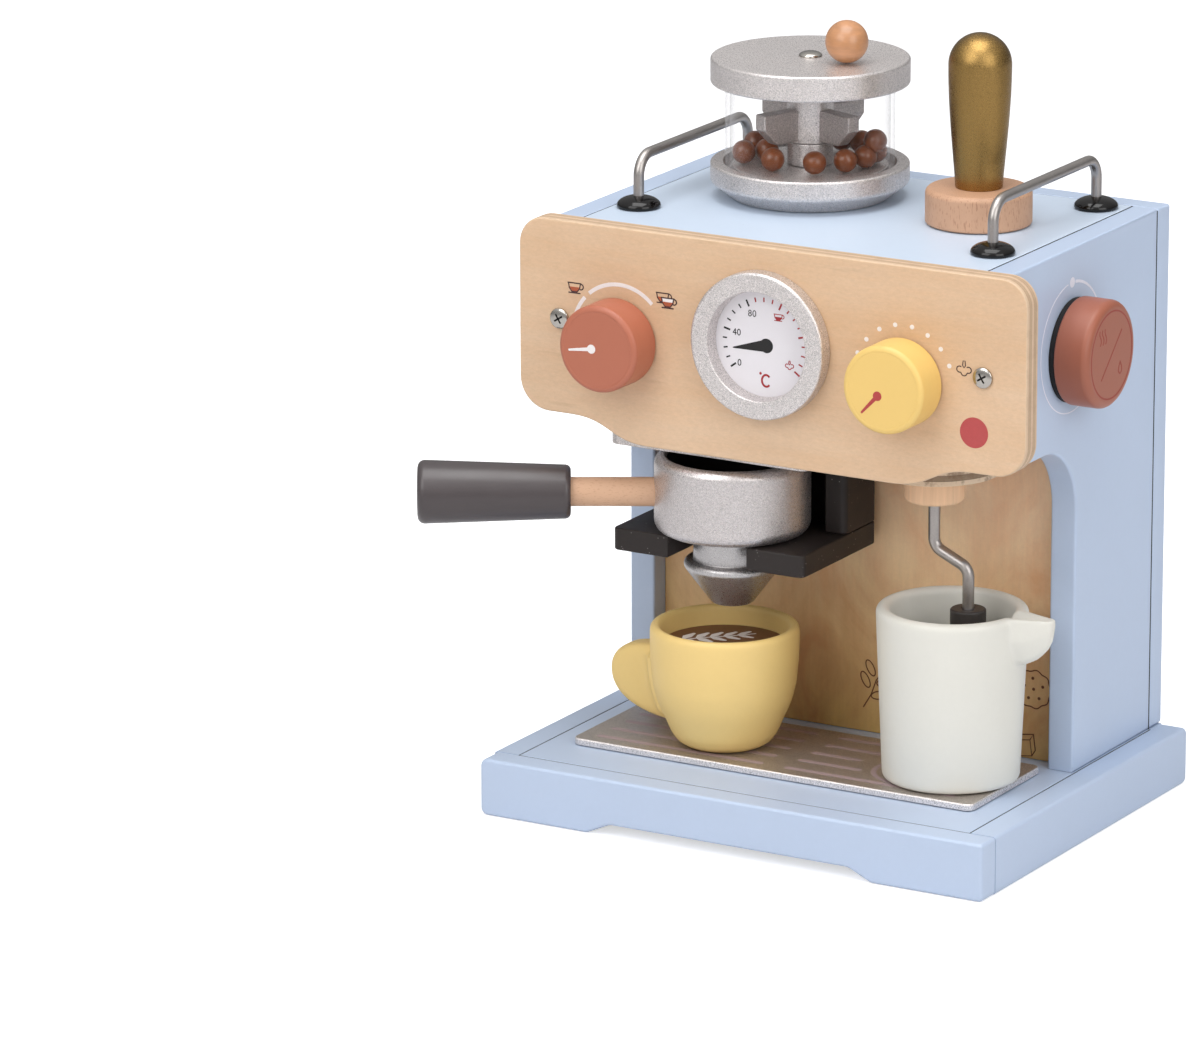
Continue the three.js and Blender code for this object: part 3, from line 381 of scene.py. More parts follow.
def bay_veneer_painted_light(name):
    """Golden upright veneer of the bay, with painted light: lighter at the top, darker at the foot.
    """
    made = Finish(name)
    along = made.stretched(1, 1, 0.1)
    flames = made.noise(19, 4, 0.6, made.stretched(1, 1, 0.7), 2.2)
    streaks = made.noise(80, 4, 0.6, along, 0.3)
    fibres = made.noise(420, 3, 0.7, along)
    low, high = (edge.z * MM for edge in span("splash_back"))
    # Painted light and shade: lighter with height and a little to the right, darker at the foot.
    climb = made.part(made.place, 2) + 0.05 * flames + 0.16 * made.part(made.place, 0)
    rise = made.between(climb, low, high)
    light = made.mix(rise, srgb(208, 170, 88), srgb(255, 222, 184))
    deep = made.mix(rise, srgb(162, 116, 46), srgb(240, 188, 144))
    wood = made.mix(made.between(0.75 * flames + 0.25 * streaks, 0.36, 0.64), light, deep)
    tone = made.tint(wood, 0.84 + 0.16 * fibres + 0.14 * made.noise(700, 3, 0.8))
    return made.wear(tone, 0.42 + 0.16 * streaks, fibres, 0.2, 0.00012)


def plies(name, node, axis, tones, stains):
    """Cut edge of the plywood: five plies, light and dark by turns, with end grain and stains."""
    made = Finish(name, Roughness=0.62)
    low, high = (edge[axis] for edge in span(node))
    wobble = 0.03 * made.noise(60, 2) - 0.015
    depth = (made.part(made.place, axis) - low * MM) / ((high - low) * MM) + wobble
    light, dark, line = (srgb(*tone) for tone in tones)
    stops = []
    for layer in range(5):
        tone = dark if layer % 2 else light
        after = (layer + 1) / 5
        stops += [(layer / 5 + 0.012, tone), (after - 0.02, tone), (after - 0.006, line)]
    layers = made.node("ValToRGB", {"stops": stops[:-1]}, {0: depth})
    grain = made.noise(900, 3, 0.7)
    splotch = made.between(made.noise(150, 4, 0.7), 0.48, 0.64)
    tone = made.mix(0.16 * grain + stains * splotch, layers, srgb(120, 88, 62))
    return made.wear(tone, None, grain, 0.3, 0.00015)


def beech(name, colour, stretch, flecks=1.0):
    """Beech: quiet rings and many short darker flecks along the grain."""
    made = Finish(name)
    along = made.stretched(*stretch)
    rings, streaks = made.noise(26, 3, 0.5, along, 0.4), made.noise(150, 4, 0.6, along)
    short = made.stretched(*[0.12 + 0.88 * part for part in stretch])
    fleck = made.between(made.noise(1900, 1, 0.5, short), 0.58, 0.68)
    base = made.tint(colour_of(colour), 0.84 + 0.14 * rings + 0.2 * streaks)
    tone = made.mix(fleck * flecks * 0.75, base, colour_of("beech_fleck"))
    return made.wear(tone, 0.44 + 0.14 * streaks, streaks - 0.6 * fleck, 0.22, 0.00012)


def pale_beech(name):
    """Pale turned collar with fine upright lines."""
    made = Finish(name, Roughness=0.5)
    lines = made.noise(900, 3, 0.7, made.stretched(1, 1, 0.04))
    broad = made.noise(240, 3, 0.6, made.stretched(1, 1, 0.05))
    tone = made.tint(srgb(232, 192, 154), 0.72 + 0.34 * lines + 0.2 * broad)
    return made.wear(tone, None, lines, 0.25, 0.00012)


def varnished_ball(name):
    """Turned ball: rings of grain round it and a soft varnish."""
    made = Finish(name, Coat_Weight=0.5, Coat_Roughness=0.22)
    rings = made.noise(90, 4, 0.6, made.stretched(0.5, 0.5, 2.4), 0.8)
    fibres = made.noise(620, 3, 0.7, made.stretched(0.35, 0.35, 1))
    tone = made.tint(colour_of("ball"), 0.5 + 0.62 * rings + 0.36 * fibres)
    return made.wear(tone, 0.36 + 0.12 * rings, fibres, 0.16, 0.0001)


def bead_varnish(name):
    made = Finish(name, IOR=1.4, Coat_Weight=0.3, Coat_Roughness=0.08)
    rings = made.noise(170, 4, 0.6, made.stretched(0.3, 0.3, 1), 0.6)
    tone = made.tint(colour_of("bead"), 0.66 + 0.9 * rings)
    return made.wear(tone, 0.22 + 0.16 * rings, rings, 0.12, 0.0001)


def clear_plastic(name):
    """Thin clear plastic, seen by its highlights and its rims, which carry a painted reflection."""
    made = Finish(name, Base_Color=srgb(248, 248, 252))
    haze = made.noise(90, 3)
    rim = made.node("LayerWeight", None, {"Blend": 0.5}, "Facing")
    # Painted reflection: a white veil that grows opaque at grazing angles.
    made.set("Alpha", 0.002 + 0.004 * haze + 0.42 * rim**3.6)
    return made.wear(None, 0.03 + 0.08 * haze, haze, 0.03, 0.0002)


def coffee_top(name):
    made = Finish(name, Roughness=0.5)
    froth = made.noise(300, 4, 0.6)
    tone = made.tint(colour_of("coffee"), 0.84 + 0.18 * froth + 0.14 * made.noise(60, 3))
    return made.wear(tone, None, froth, 0.14, 0.0001)


def dial_card(name):
    made = Finish(name, Roughness=0.55)
    tone = 0.96 + 0.05 * made.noise(60, 3) + 0.02 * made.noise(1300, 2)
    return made.wear(made.tint(colour_of("dial"), tone), None, made.noise(1200, 2), 0.12, 0.00008)


def ink(name, colour, rough=0.5):
    """Printed ink, thin enough for the grain below to show as a slight mottle."""
    made = Finish(name, Roughness=rough)
    mottle = made.noise(750, 3, 0.7)
    tone = made.tint(colour_of(colour), 0.9 + 0.18 * mottle)
    return made.wear(tone, None, mottle, 0.14, 0.00006)


# Screen values of the light plies, the dark plies and the glue lines.
PANEL_TONES = (216, 188, 158), (194, 165, 136), (154, 123, 96)
MOUNT_TONES = (224, 198, 168), (150, 126, 100), (112, 88, 66)

# Every finish by name: its recipe and what the recipe is told.
RECIPES = {
    "body_blue": (lacquer, "body"),
    # Roof: the body paint lighter and paler, a painted sheen for light and reflected backdrop.
    "roof_blue": (lacquer, ("body", 1.2, 1.17, 1.09)),
    "terracotta": (lacquer, "terracotta", 0.46, 0.2, 0.9),
    # Side knob: the terracotta darker, painted shade for the knob that faces the side.
    "side_terracotta": (lacquer, ("terracotta", 0.79, 0.79, 0.79), 0.46, 0.3, 1.2),
    "yellow": (lacquer, "yellow", 0.46, 0.2, 0.8),
    # Cup: paler yellow, partly its own paint, partly painted bounce light from floor and tray.
    "cup_yellow": (lacquer, ("yellow", 1.04, 1.1, 1.34), 0.55, 0.15, 1.0),
    "cream": (lacquer, "cream", 0.5, 0.15, 0.9),
    # Black for painted shade in the board gaps, screw recesses and behind the side knob.
    "gap_black": (matt, (14, 13, 14), 0.8, 700, 0.2, 0.0001),
    # Black inside the filter bowl, painted shade under the head's plate.
    "bowl_black": (matt, (20, 18, 18), 0.6, 900, 0.3, 0.0002),
    "charcoal": (charcoal,),
    "grip": (grip_satin,),
    "wand_tip": (rubbery,),
    "silver_sparkle": (sparkle, "silver", 0.74, 0.36, 0.62, 1.15),
    # Brighter silver: a painted highlight on the lid's top and the tray's side faces.
    "lid_sparkle": (sparkle, ("silver", 1.14, 1.14, 1.14), 0.7, 0.34, 0.4, 1.15),
    "bowl_sparkle": (sparkle, (207, 201, 200), 0.84, 0.33, 0.52, 1.3),
    "spout_sparkle": (sparkle, (192, 189, 189), 0.9, 0.32, 0.34, 1.3),
    # Tray: darker, warmer silver, partly its own paint, partly painted shade and wood reflection.
    "tray_sparkle": (sparkle, (180, 171, 163), 0.7, 0.4, 0.6, 1.1),
    "blade_sparkle": (sparkle, (184, 176, 173), 0.72, 0.38, 0.8, 1.15),
    "gold_sparkle": (sparkle, "gold", 1.0, 0.27, 0.22, 1.7),
    "steel_rod": (steel,),
    "bright_nickel": (chrome,),
    "black_gloss": (gloss,),
    "ply_front": (veneer, (0.11, 1, 1)),
    "ply_disc": (veneer, (0.12, 1, 1), 0.98),
    "ply_upright": (bay_veneer_painted_light,),
    "panel_plies": (plies, "front_panel", 1, PANEL_TONES, 0.12),
    "mount_plies": (plies, "wand_mount", 2, MOUNT_TONES, 0.6),
    "beech_puck": (beech, "beech", (1, 1, 0.07)),
    "beech_dowel": (beech, (205, 165, 134), (0.25, 0.4, 1), 0.4),
    "beech_collar": (pale_beech,),
    "beech_ball": (varnished_ball,),
    "bead_varnish": (bead_varnish,),
    "clear_plastic": (clear_plastic,),
    "coffee": (coffee_top,),
    "dial": (dial_card,),
    "burnt_line": (ink, "burn", 0.8),
    "white_ink": (ink, "white_ink"),
    "pale_ink": (ink, (226, 228, 240)),
    "red_ink": (ink, "red_ink"),
    "dial_red": (ink, (158, 34, 42)),
    "disc_red": (ink, (176, 70, 70)),
    "brown_ink": (ink, "brown_ink"),
    "coffee_ink": (ink, (170, 84, 52)),
    "black_ink": (ink, "black_ink"),
    "tray_ink": (ink, "tray_ink", 0.45),
    "engraved": (ink, (150, 66, 56), 0.6),
}
made_finishes = {}


def finish(name):
    """The material of a finish, made once."""
    if name not in made_finishes:
        recipe, *told = RECIPES[name]
        made_finishes[name] = recipe(f"Finish_{name}", *told).material
    return made_finishes[name]


# ---------------------------------------------------------------- outlines, in millimetres


def around(count):
    """Angles of a whole turn in equal steps."""
    return [TURN * step / count for step in range(count)]


def filleted(corners, closed=True, steps=6):
    """Outline through corners of (x, y, round), each round drawn as an arc."""
    points = []
    count = len(corners)
    for index, (x, y, radius) in enumerate(corners):
        spot = Vector((x, y))
        if not radius or (not closed and index in (0, count - 1)):
            points.append(spot)
            continue
        before = (Vector(corners[index - 1][:2]) - spot).normalized()
        after = (Vector(corners[(index + 1) % count][:2]) - spot).normalized()
        half = before.angle(after) / 2
        middle = spot + (before + after).normalized() * radius / math.sin(half)
        start = spot + before * radius / math.tan(half) - middle
        end = spot + after * radius / math.tan(half) - middle
        first = math.atan2(start.y, start.x)
        sweep = (math.atan2(end.y, end.x) - first + math.pi) % TURN - math.pi
        for step in range(steps + 1):
            angle = first + sweep * step / steps
            points.append(middle + radius * Vector((math.cos(angle), math.sin(angle))))
    return points


def rectangle(low_x, low_y, high_x, high_y, corner=0.0, steps=6):
    corners = [(low_x, low_y), (high_x, low_y), (high_x, high_y), (low_x, high_y)]
    return filleted([(*spot, corner) for spot in corners], steps=steps)


def circle(x, y, radius, segments=48):
    return [Vector((x + radius * math.cos(a), y + radius * math.sin(a))) for a in around(segments)]


def arc(x, y, radius, start, end, steps=24):
    """Points of an arc between two angles in degrees."""
    angles = [math.radians(start + (end - start) * step / steps) for step in range(steps + 1)]
    return [Vector((x + radius * math.cos(a), y + radius * math.sin(a))) for a in angles]


def leaning(x, y, degrees, points):
    """Points turned by an angle, then set at a spot."""
    turn = Matrix.Rotation(math.radians(degrees), 2)
    return [Vector((x, y)) + turn @ Vector(point) for point in points]


def oval(x, y, wide, high, lean=0.0, steps=32):
    """Points of an ellipse of half sizes wide and high, leaning by an angle in degrees."""
    return leaning(x, y, lean, [(wide * math.cos(a), high * math.sin(a)) for a in around(steps)])


def bezier(start, pull, push, end, steps=12):
    """Points along a curve from start to end, the first one left out."""
    points = []
    for step in range(1, steps + 1):
        t = step / steps
        shares = ((1 - t) ** 3, 3 * t * (1 - t) ** 2, 3 * t * t * (1 - t), t**3)
        pulls = [Vector(spot) * share for spot, share in zip((start, pull, push, end), shares)]
        points.append(sum(pulls, Vector((0, 0))))
    return points


def scaled(x, y, scale, points):
    """Points of an icon about its middle, made larger and set at a spot."""
    return [Vector((x, y)) + Vector(point) * scale for point in points]


def inset_outline(outline, inset):
    """The outline moved inward; it runs anticlockwise."""
    inner = []
    count = len(outline)
    for index, spot in enumerate(outline):
        before = (spot - outline[index - 1]).normalized()
        after = (outline[(index + 1) % count] - spot).normalized()
        first, second = Vector((-before.y, before.x)), Vector((-after.y, after.x))
        inner.append(spot + (first + second) * inset / (1 + first.dot(second)))
    return inner


def rounded_levels(height, lower, upper=None, steps=3):
    """Insets and heights of a slab whose two rims are rounded."""
    upper = lower if upper is None else upper

    def rim(radius):
        angles = [QUARTER * step / steps for step in range(steps + 1)] if radius else [QUARTER]
        return [(radius * (1 - math.sin(a)), radius * (1 - math.cos(a))) for a in angles]

    return rim(lower) + [(inset, height - rise) for inset, rise in reversed(rim(upper))]


# ---------------------------------------------------------------- forms, in millimetres


def skinned(rings, closed=False):
    """A form through rings of points; it is capped, or closed joins the last to the first."""
    form = bmesh.new()
    rings = [[form.verts.new(spot) for spot in ring] for ring in rings]
    pairs = list(zip(rings, rings[1:])) + ([(rings[-1], rings[0])] if closed else [])
    for lower, upper in pairs:
        for index in range(len(lower)):
            form.faces.new((lower[index - 1], lower[index], upper[index], upper[index - 1]))
    if not closed:
        form.faces.new(rings[0][::-1])
        form.faces.new(rings[-1])
    return form


def lofted(outline, levels):
    """A closed form from an outline, inset by each level's share."""
    rings = [(inset_outline(outline, inset), high) for inset, high in levels]
    return skinned([[(*spot, high) for spot in ring] for ring, high in rings])


def plate(outline, low, high, lower=0.0, upper=None):
    """An outline made thick, with rounded rims."""
    form = lofted(outline, rounded_levels(high - low, lower, upper))
    bmesh.ops.translate(form, verts=form.verts, vec=(0, 0, low))
    return form


def board(low, high, edge):
    """A board between two corners, its edges rounded."""
    return plate(rectangle(low[0], low[1], high[0], high[1], edge, 4), low[2], high[2], edge)


def lathed(profile, segments=96, closed=False):
    """A turned form about +Z, from points of radius and height; closed joins last to first."""
    form = bmesh.new()
    rings = []
    for radius, height in profile:
        angles = around(1 if radius < 1e-6 else segments)
        corners = [(radius * math.cos(a), radius * math.sin(a), height) for a in angles]
        rings.append([form.verts.new(corner) for corner in corners])
    pairs = list(zip(rings, rings[1:])) + ([(rings[-1], rings[0])] if closed else [])
    for lower, upper in pairs:
        for step in range(segments):
            last = step - 1
            corners = [lower[last % len(lower)], lower[step % len(lower)]]
            corners += [upper[step % len(upper)], upper[last % len(upper)]]
            corners = list(dict.fromkeys(corners))
            if len(corners) > 2:
                form.faces.new(corners)
    return form


def turned(corners, segments=96, closed=False):
    """A turned form from corners of (radius, height, round)."""
    return lathed(filleted(corners, closed=closed, steps=5), segments, closed)


def puck(radius, tall, lower, upper, segments):
    """A turned disc that stands on the plane, its two rims rounded."""
    return turned([(0, 0, 0), (radius, 0, lower), (radius, tall, upper), (0, tall, 0)], segments)


def domed(rim, wide, low, high, steps, segments):
    """A turned form with a flat foot, the points of its rim, and a domed top."""
    angles = [QUARTER * step / steps for step in range(steps)]
    dome = [(wide * math.cos(a), low + (high - low) * math.sin(a)) for a in angles]
    return lathed([(0, 0), *rim, *dome, (0, high)], segments)


def ball(radius, steps, segments):
    angles = [math.pi * step / steps for step in range(1, steps)]
    side = [(radius * math.sin(a), -radius * math.cos(a)) for a in angles]
    return lathed([(0, -radius), *side, (0, radius)], segments)


def bent(corners, bend, steps=12):
    """Points of a path through corners, each bend an arc."""
    points = [corners[0]]
    for before, spot, after in zip(corners, corners[1:], corners[2:]):
        first, second = (before - spot).normalized(), (after - spot).normalized()
        half = first.angle(second) / 2
        middle = spot + (first + second).normalized() * bend / math.sin(half)
        start = spot + first * bend / math.tan(half) - middle
        end = spot + second * bend / math.tan(half) - middle
        sweep = start.angle(end)
        for step in range(steps + 1):
            share = step / steps
            pull, push = (math.sin(part * sweep) / math.sin(sweep) for part in (1 - share, share))
            points.append(middle + start * pull + end * push)
    return points + [corners[-1]]


def swept(path, radius, sides=28):
    """A rod along a path."""
    rings = []
    ahead = (path[1] - path[0]).normalized()
    side = ahead.orthogonal().normalized()
    for index, spot in enumerate(path):
        now = (path[min(index + 1, len(path) - 1)] - path[max(index - 1, 0)]).normalized()
        side.rotate(ahead.rotation_difference(now))
        ahead = now
        across = ahead.cross(side)
        rays = [math.cos(a) * side + math.sin(a) * across for a in around(sides)]
        rings.append([spot + radius * ray for ray in rays])
    return skinned(rings)


def stroke(path, width, closed=False, tips=4):
    """A line of ink along a path on the plane, with round ends; width may differ by point."""
    rise = size("ink")
    path = [Vector(spot) for spot in path]
    widths = [width] * len(path) if isinstance(width, (int, float)) else list(width)
    if not closed:
        head, tail = (path[0] - path[1]).normalized(), (path[-1] - path[-2]).normalized()
        angles = [QUARTER * (step + 0.35) / (tips + 0.35) for step in range(tips - 1, -1, -1)]

        def tip(spot, away, wide):
            return [(spot + away * math.sin(a) * wide / 2, wide * math.cos(a)) for a in angles]

        start, end = tip(path[0], head, widths[0]), tip(path[-1], tail, widths[-1])
        path, widths = zip(*start, *zip(path, widths), *end[::-1])
    count = len(path)
    rings = []
    for index, spot in enumerate(path):
        near = path[index - 1] if closed or index else spot
        far = path[(index + 1) % count] if closed or index < count - 1 else spot
        along = (far - near).normalized()
        out = Vector((-along.y, along.x)) * widths[index] / 2
        edges = ((spot + out, -rise), (spot - out, -rise), (spot - out, rise), (spot + out, rise))
        rings.append([(*edge, high) for edge, high in edges])
    return skinned(rings, closed)


def blot(outline):
    """A filled patch of ink."""
    return lofted(outline, [(0, -size("ink")), (0, size("ink"))])


# ---------------------------------------------------------------- places, tools and pieces

# Directions of a plane's own x and y, as seen from each side.
FRONT = ((1, 0, 0), (0, 0, 1))
RIGHT = ((0, 1, 0), (0, 0, 1))
LEFT = ((0, -1, 0), (0, 0, 1))
TOP = ((1, 0, 0), (0, 1, 0))


def facing(origin, right, up):
    """The place of a plane whose own x goes right and y goes up."""
    right, up = Vector(right), Vector(up)
    turn = Matrix((right, up, right.cross(up))).transposed().to_4x4()
    return Matrix.Translation(Vector(origin)) @ turn


def at(x, y, z):
    return Matrix.Translation((x, y, z))


def moved(form, place):
    form.transform(place)
    return form


def stood(form, node, axis=None):
    """The form stood at the foot of a node, on the node's middle or on another axis."""
    axis = axis or centre(node)
    return moved(form, at(axis.x, axis.y, span(node)[0].z))


def gathered(forms):
    """One mesh from several forms."""
    whole = bmesh.new()
    for form in forms:
        carrier = bpy.data.meshes.new("carrier")
        form.to_mesh(carrier)
        whole.from_mesh(carrier)
        bpy.data.meshes.remove(carrier)
        form.free()
    return whole


def held(form):
    """A scratch object that carries a form."""
    carrier = bpy.data.meshes.new("carrier")
    form.to_mesh(carrier)
    form.free()
    holder = bpy.data.objects.new("holder", carrier)
    bpy.context.scene.collection.objects.link(holder)
    return holder


def dropped(holder):
    carrier = holder.data
    bpy.data.objects.remove(holder)
    bpy.data.meshes.remove(carrier)


def worked(form, tool, **settings):
    """The form after one modifier."""
    holder = held(form)
    modifier = holder.modifiers.new(tool, tool)
    for name, value in settings.items():
        setattr(modifier, name, value)
    bpy.context.view_layer.update()
    result = bmesh.new()
    result.from_object(holder, bpy.context.evaluated_depsgraph_get())
    dropped(holder)
    return result


def carved(form, cutter):
    """The form with a cutter taken away."""
    blade = held(cutter)
    result = worked(form, "BOOLEAN", operation="DIFFERENCE", solver="EXACT", object=blade)
    dropped(blade)
    return result


def moulded(form, softness):
    """The form cast anew in fine cells, its joins softened."""
    shell = worked(form, "REMESH", mode="VOXEL", voxel_size=size("fine_voxel"))
    return worked(shell, "SMOOTH", factor=0.5, iterations=softness)


def painted(form, index, test):
    """Gives the faces that pass a test a finish by number."""
    form.normal_update()
    for face in form.faces:
        if test(face):
            face.material_index = index
    return form


def trimmed(form, point, outward):
    """The form cut flat at a plane, with what lies outward taken off."""
    geometry = [*form.verts, *form.edges, *form.faces]
    bmesh.ops.bisect_plane(form, geom=geometry, plane_co=point, plane_no=outward, clear_outer=True)
    bmesh.ops.holes_fill(form, edges=[edge for edge in form.edges if edge.is_boundary], sides=0)
    return form


def piece(name, finishes, forms, replaces=(), body="chassis", sharp=38):
    """Makes a piece from forms in millimetres, riding on a body."""
    whole = gathered(forms)
    bmesh.ops.dissolve_degenerate(whole, dist=1e-5, edges=whole.edges)
    bmesh.ops.scale(whole, verts=whole.verts, vec=(MM, MM, MM))
    mesh = bpy.data.meshes.new(name)
    whole.to_mesh(mesh)
    whole.free()
    for finish_name in finishes:
        mesh.materials.append(finish(finish_name))
    mesh.polygons.foreach_set("use_smooth", [True] * len(mesh.polygons))
    mesh.set_sharp_from_angle(angle=math.radians(sharp))
    made = bpy.data.objects.new(name, mesh)
    bpy.context.scene.collection.objects.link(made)
    weighted = made.modifiers.new("Even normals", "WEIGHTED_NORMAL")
    weighted.keep_sharp = True
    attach(made, body)
    if replaces:
        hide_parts(*replaces)
    return made


def print_on(name, colour, place, forms, lift=1.0, body="chassis"):
    """A print: ink forms laid on a plane, each a hair higher or lower than the one before."""
    layers = []
    for index, form in enumerate(forms):
        high = lift * (1 + 0.06 * (index % 5))
        layers.append(moved(form, place @ Matrix.Diagonal((1, 1, high, 1))))
    return piece(name, [colour], layers, body=body)


# ---------------------------------------------------------------- base and body


def base_front():
    """The front board: its skirt is cut up between two feet."""
    low, high = span("base_front_board")
    wide, deep, tall = high.x - low.x, high.y - low.y, high.z - low.z
    foot, slope, rise = 52, 11, 5
    corners = [(0, 0, 3), (foot, 0, 5), (foot + slope, rise, 7), (wide - foot - slope, rise, 7)]
    corners += [(wide - foot, 0, 5), (wide, 0, 2), (wide, tall, 1.6), (0, tall, 3.4)]
    form = plate(filleted(corners), 0, deep, size("seam_edge"), size("board_edge"))
    form = moved(form, facing((low.x, high.y, 0), *FRONT))
    piece("front_board", ["body_blue"], [form], ["base_front_board"])


def base_side(side, outward):
    """A side board, its outer edges rounder, cut flat where it meets the front board."""
    node = f"base_{side}_board"
    low, high = span(node)
    over, deep, tall = 4, high.y - low.y, high.z
    corners = [(-over, 0, 0), (deep, 0, 3), (deep, tall, 3.4), (-over, tall, 0)]
    edges = (size("seam_edge"), size("board_edge"))[::outward]
    form = plate(filleted(corners), 0, high.x - low.x, *edges)
    form = moved(form, facing((low.x, low.y, 0), *RIGHT))
    form = trimmed(form, (0, low.y, 0), (0, -1, 0))
    piece(f"{side}_board", ["body_blue"], [form], [node])


def plain_boards():
    boards = (
        ("base_back_board", "back_board", "seam_edge", "body_blue"),
        ("base_deck", "deck", "seam_edge", "body_blue"),
        ("back_panel", "rear_panel", "panel_edge", "body_blue"),
        # The roof takes the lighter copy of the body paint, a painted sheen.
        ("top_panel", "roof_panel", "seam_edge", "roof_blue"),
        ("head_floor", "head_bottom", "seam_edge", "body_blue"),
    )
    for node, name, edge, colour in boards:
        piece(name, [colour], [board(*span(node), size(edge))], [node])


class COFFEE_MAKER_OT_base(bpy.types.Operator):
    """Builds the base's front and side boards"""

    bl_idname = "coffee_maker.base"
    bl_label = "Base Boards"

    def execute(self, context):
        base_front()
        base_side("left", -1)
        base_side("right", 1)
        return {"FINISHED"}


def tray_lines():
    """The printed lines of the tray, in rows left and right of the middle, and the jug's ring."""
    width, left, right_start, right_end = 3.2, (-88, -7), 3.2, 84
    first_row, row_step = -51, 12
    forms = []
    for row, end in enumerate((right_end, 33.5, 27.2, 33.5, right_end)):
        y = first_row + row_step * row
        for start, stop in (left, (right_start, end)):
            forms.append(stroke([(start + width / 2, y), (stop - width / 2, y)], width))
    return forms + [stroke(oval(54, -30.5, 17, 17, steps=64), 2.2, closed=True)]


class COFFEE_MAKER_OT_tray(bpy.types.Operator):
    """Builds the silver drip tray with its printed lines"""

    bl_idname = "coffee_maker.tray"
    bl_label = "Drip Tray"

    def execute(self, context):
        low, high = span("drip_tray")
        corner, lower, upper = 4, 0.4, 0.8
        outline = rectangle(low.x, low.y, high.x, high.y, corner, 8)
        form = plate(outline, low.z, high.z, lower, upper)
        # The tray's side faces take the brighter silver, a painted highlight.
        painted(form, 1, lambda face: abs(face.normal.z) < 0.9)
        # Its top takes the darker, warmer silver, partly painted shade and reflection.
        piece("tray", ["tray_sparkle", "lid_sparkle"], [form], ["drip_tray"])
        place = facing((MACHINE.x, MACHINE.y, high.z), *TOP)
        print_on("tray_lines", "tray_ink", place, tray_lines())
        return {"FINISHED"}


def side_panel(side):
    """A side of the body: a tall board with the arch over the serving bay."""
    node = f"{side}_side_panel"
    low, high = span(node)
    post, head, arch = span("splash_back")[0].y - 9, span("head_floor")[0].z, 30
    corners = ((post, low.z), (high.y, low.z), (high.y, high.z), (low.y, high.z), (low.y, head))
    outline = [Vector(corner) for corner in corners]
    outline += arc(post - arch, head - arch, arch, 90, 0, 20)
    form = plate(outline, 0, high.x - low.x, size("panel_edge"))
    form = moved(form, facing((low.x, 0, 0), *RIGHT))
    piece(f"{side}_wall", ["body_blue"], [form], [node])


def side_ring():
    """The thin printed ring round the side knob, with its dot and thicker start."""
    y, z = centre("side_knob").y - 1.2, 211.5
    ring, start, end, steps = 27.7, 83, -262, 96
    place = facing((span("right_side_panel")[1].x, y, z), *RIGHT)
    widths = [0.5 + 0.8 * max(0.0, 1 - step / 20) for step in range(steps + 1)]
    line = stroke(arc(0, 0, ring, start, end, steps), widths)
    print_on("side_scale", "pale_ink", place, [line, blot(circle(0, ring, 2.2, 24))])


def seams():
    """Painted shade: thin black lines in the grooves between the boards, where the gaps lie in
    shade.
    """
    half_gap, width = 0.1, 0.9
    roof_sunk, wall_sunk, deck_sunk = 0.3, 0.32, 0.22
    roof_low, roof_high = span("top_panel")
    back_low, back_high = span("back_panel")
    deck_low, deck_high = span("base_deck")

    def gap(name, place, points):
        print_on(name, "gap_black", place, [stroke(points, width, tips=1)])

    left, right, back = roof_low.x - half_gap, roof_high.x + half_gap, roof_high.y + half_gap
    path = [(left, roof_low.y), (left, back), (right, back), (right, roof_low.y)]
    gap("roof_gaps", facing((0, 0, roof_high.z - roof_sunk), *TOP), path)
    rear = back_low.y - half_gap
    path = [(rear, back_low.z), (rear, back_high.z - 1)]
    gap("right_wall_gap", facing((back_high.x - wall_sunk, 0, 0), *RIGHT), path)
    path = [(-y, z) for y, z in path]
    gap("left_wall_gap", facing((back_low.x + wall_sunk, 0, 0), *LEFT), path)
    left, right = deck_low.x - half_gap, deck_high.x + half_gap
    front, back = deck_low.y - half_gap, deck_high.y + half_gap
    path = [(left, back), (left, front), (right, front), (right, back)]
    gap("deck_gaps", facing((0, 0, deck_high.z - deck_sunk), *TOP), path)


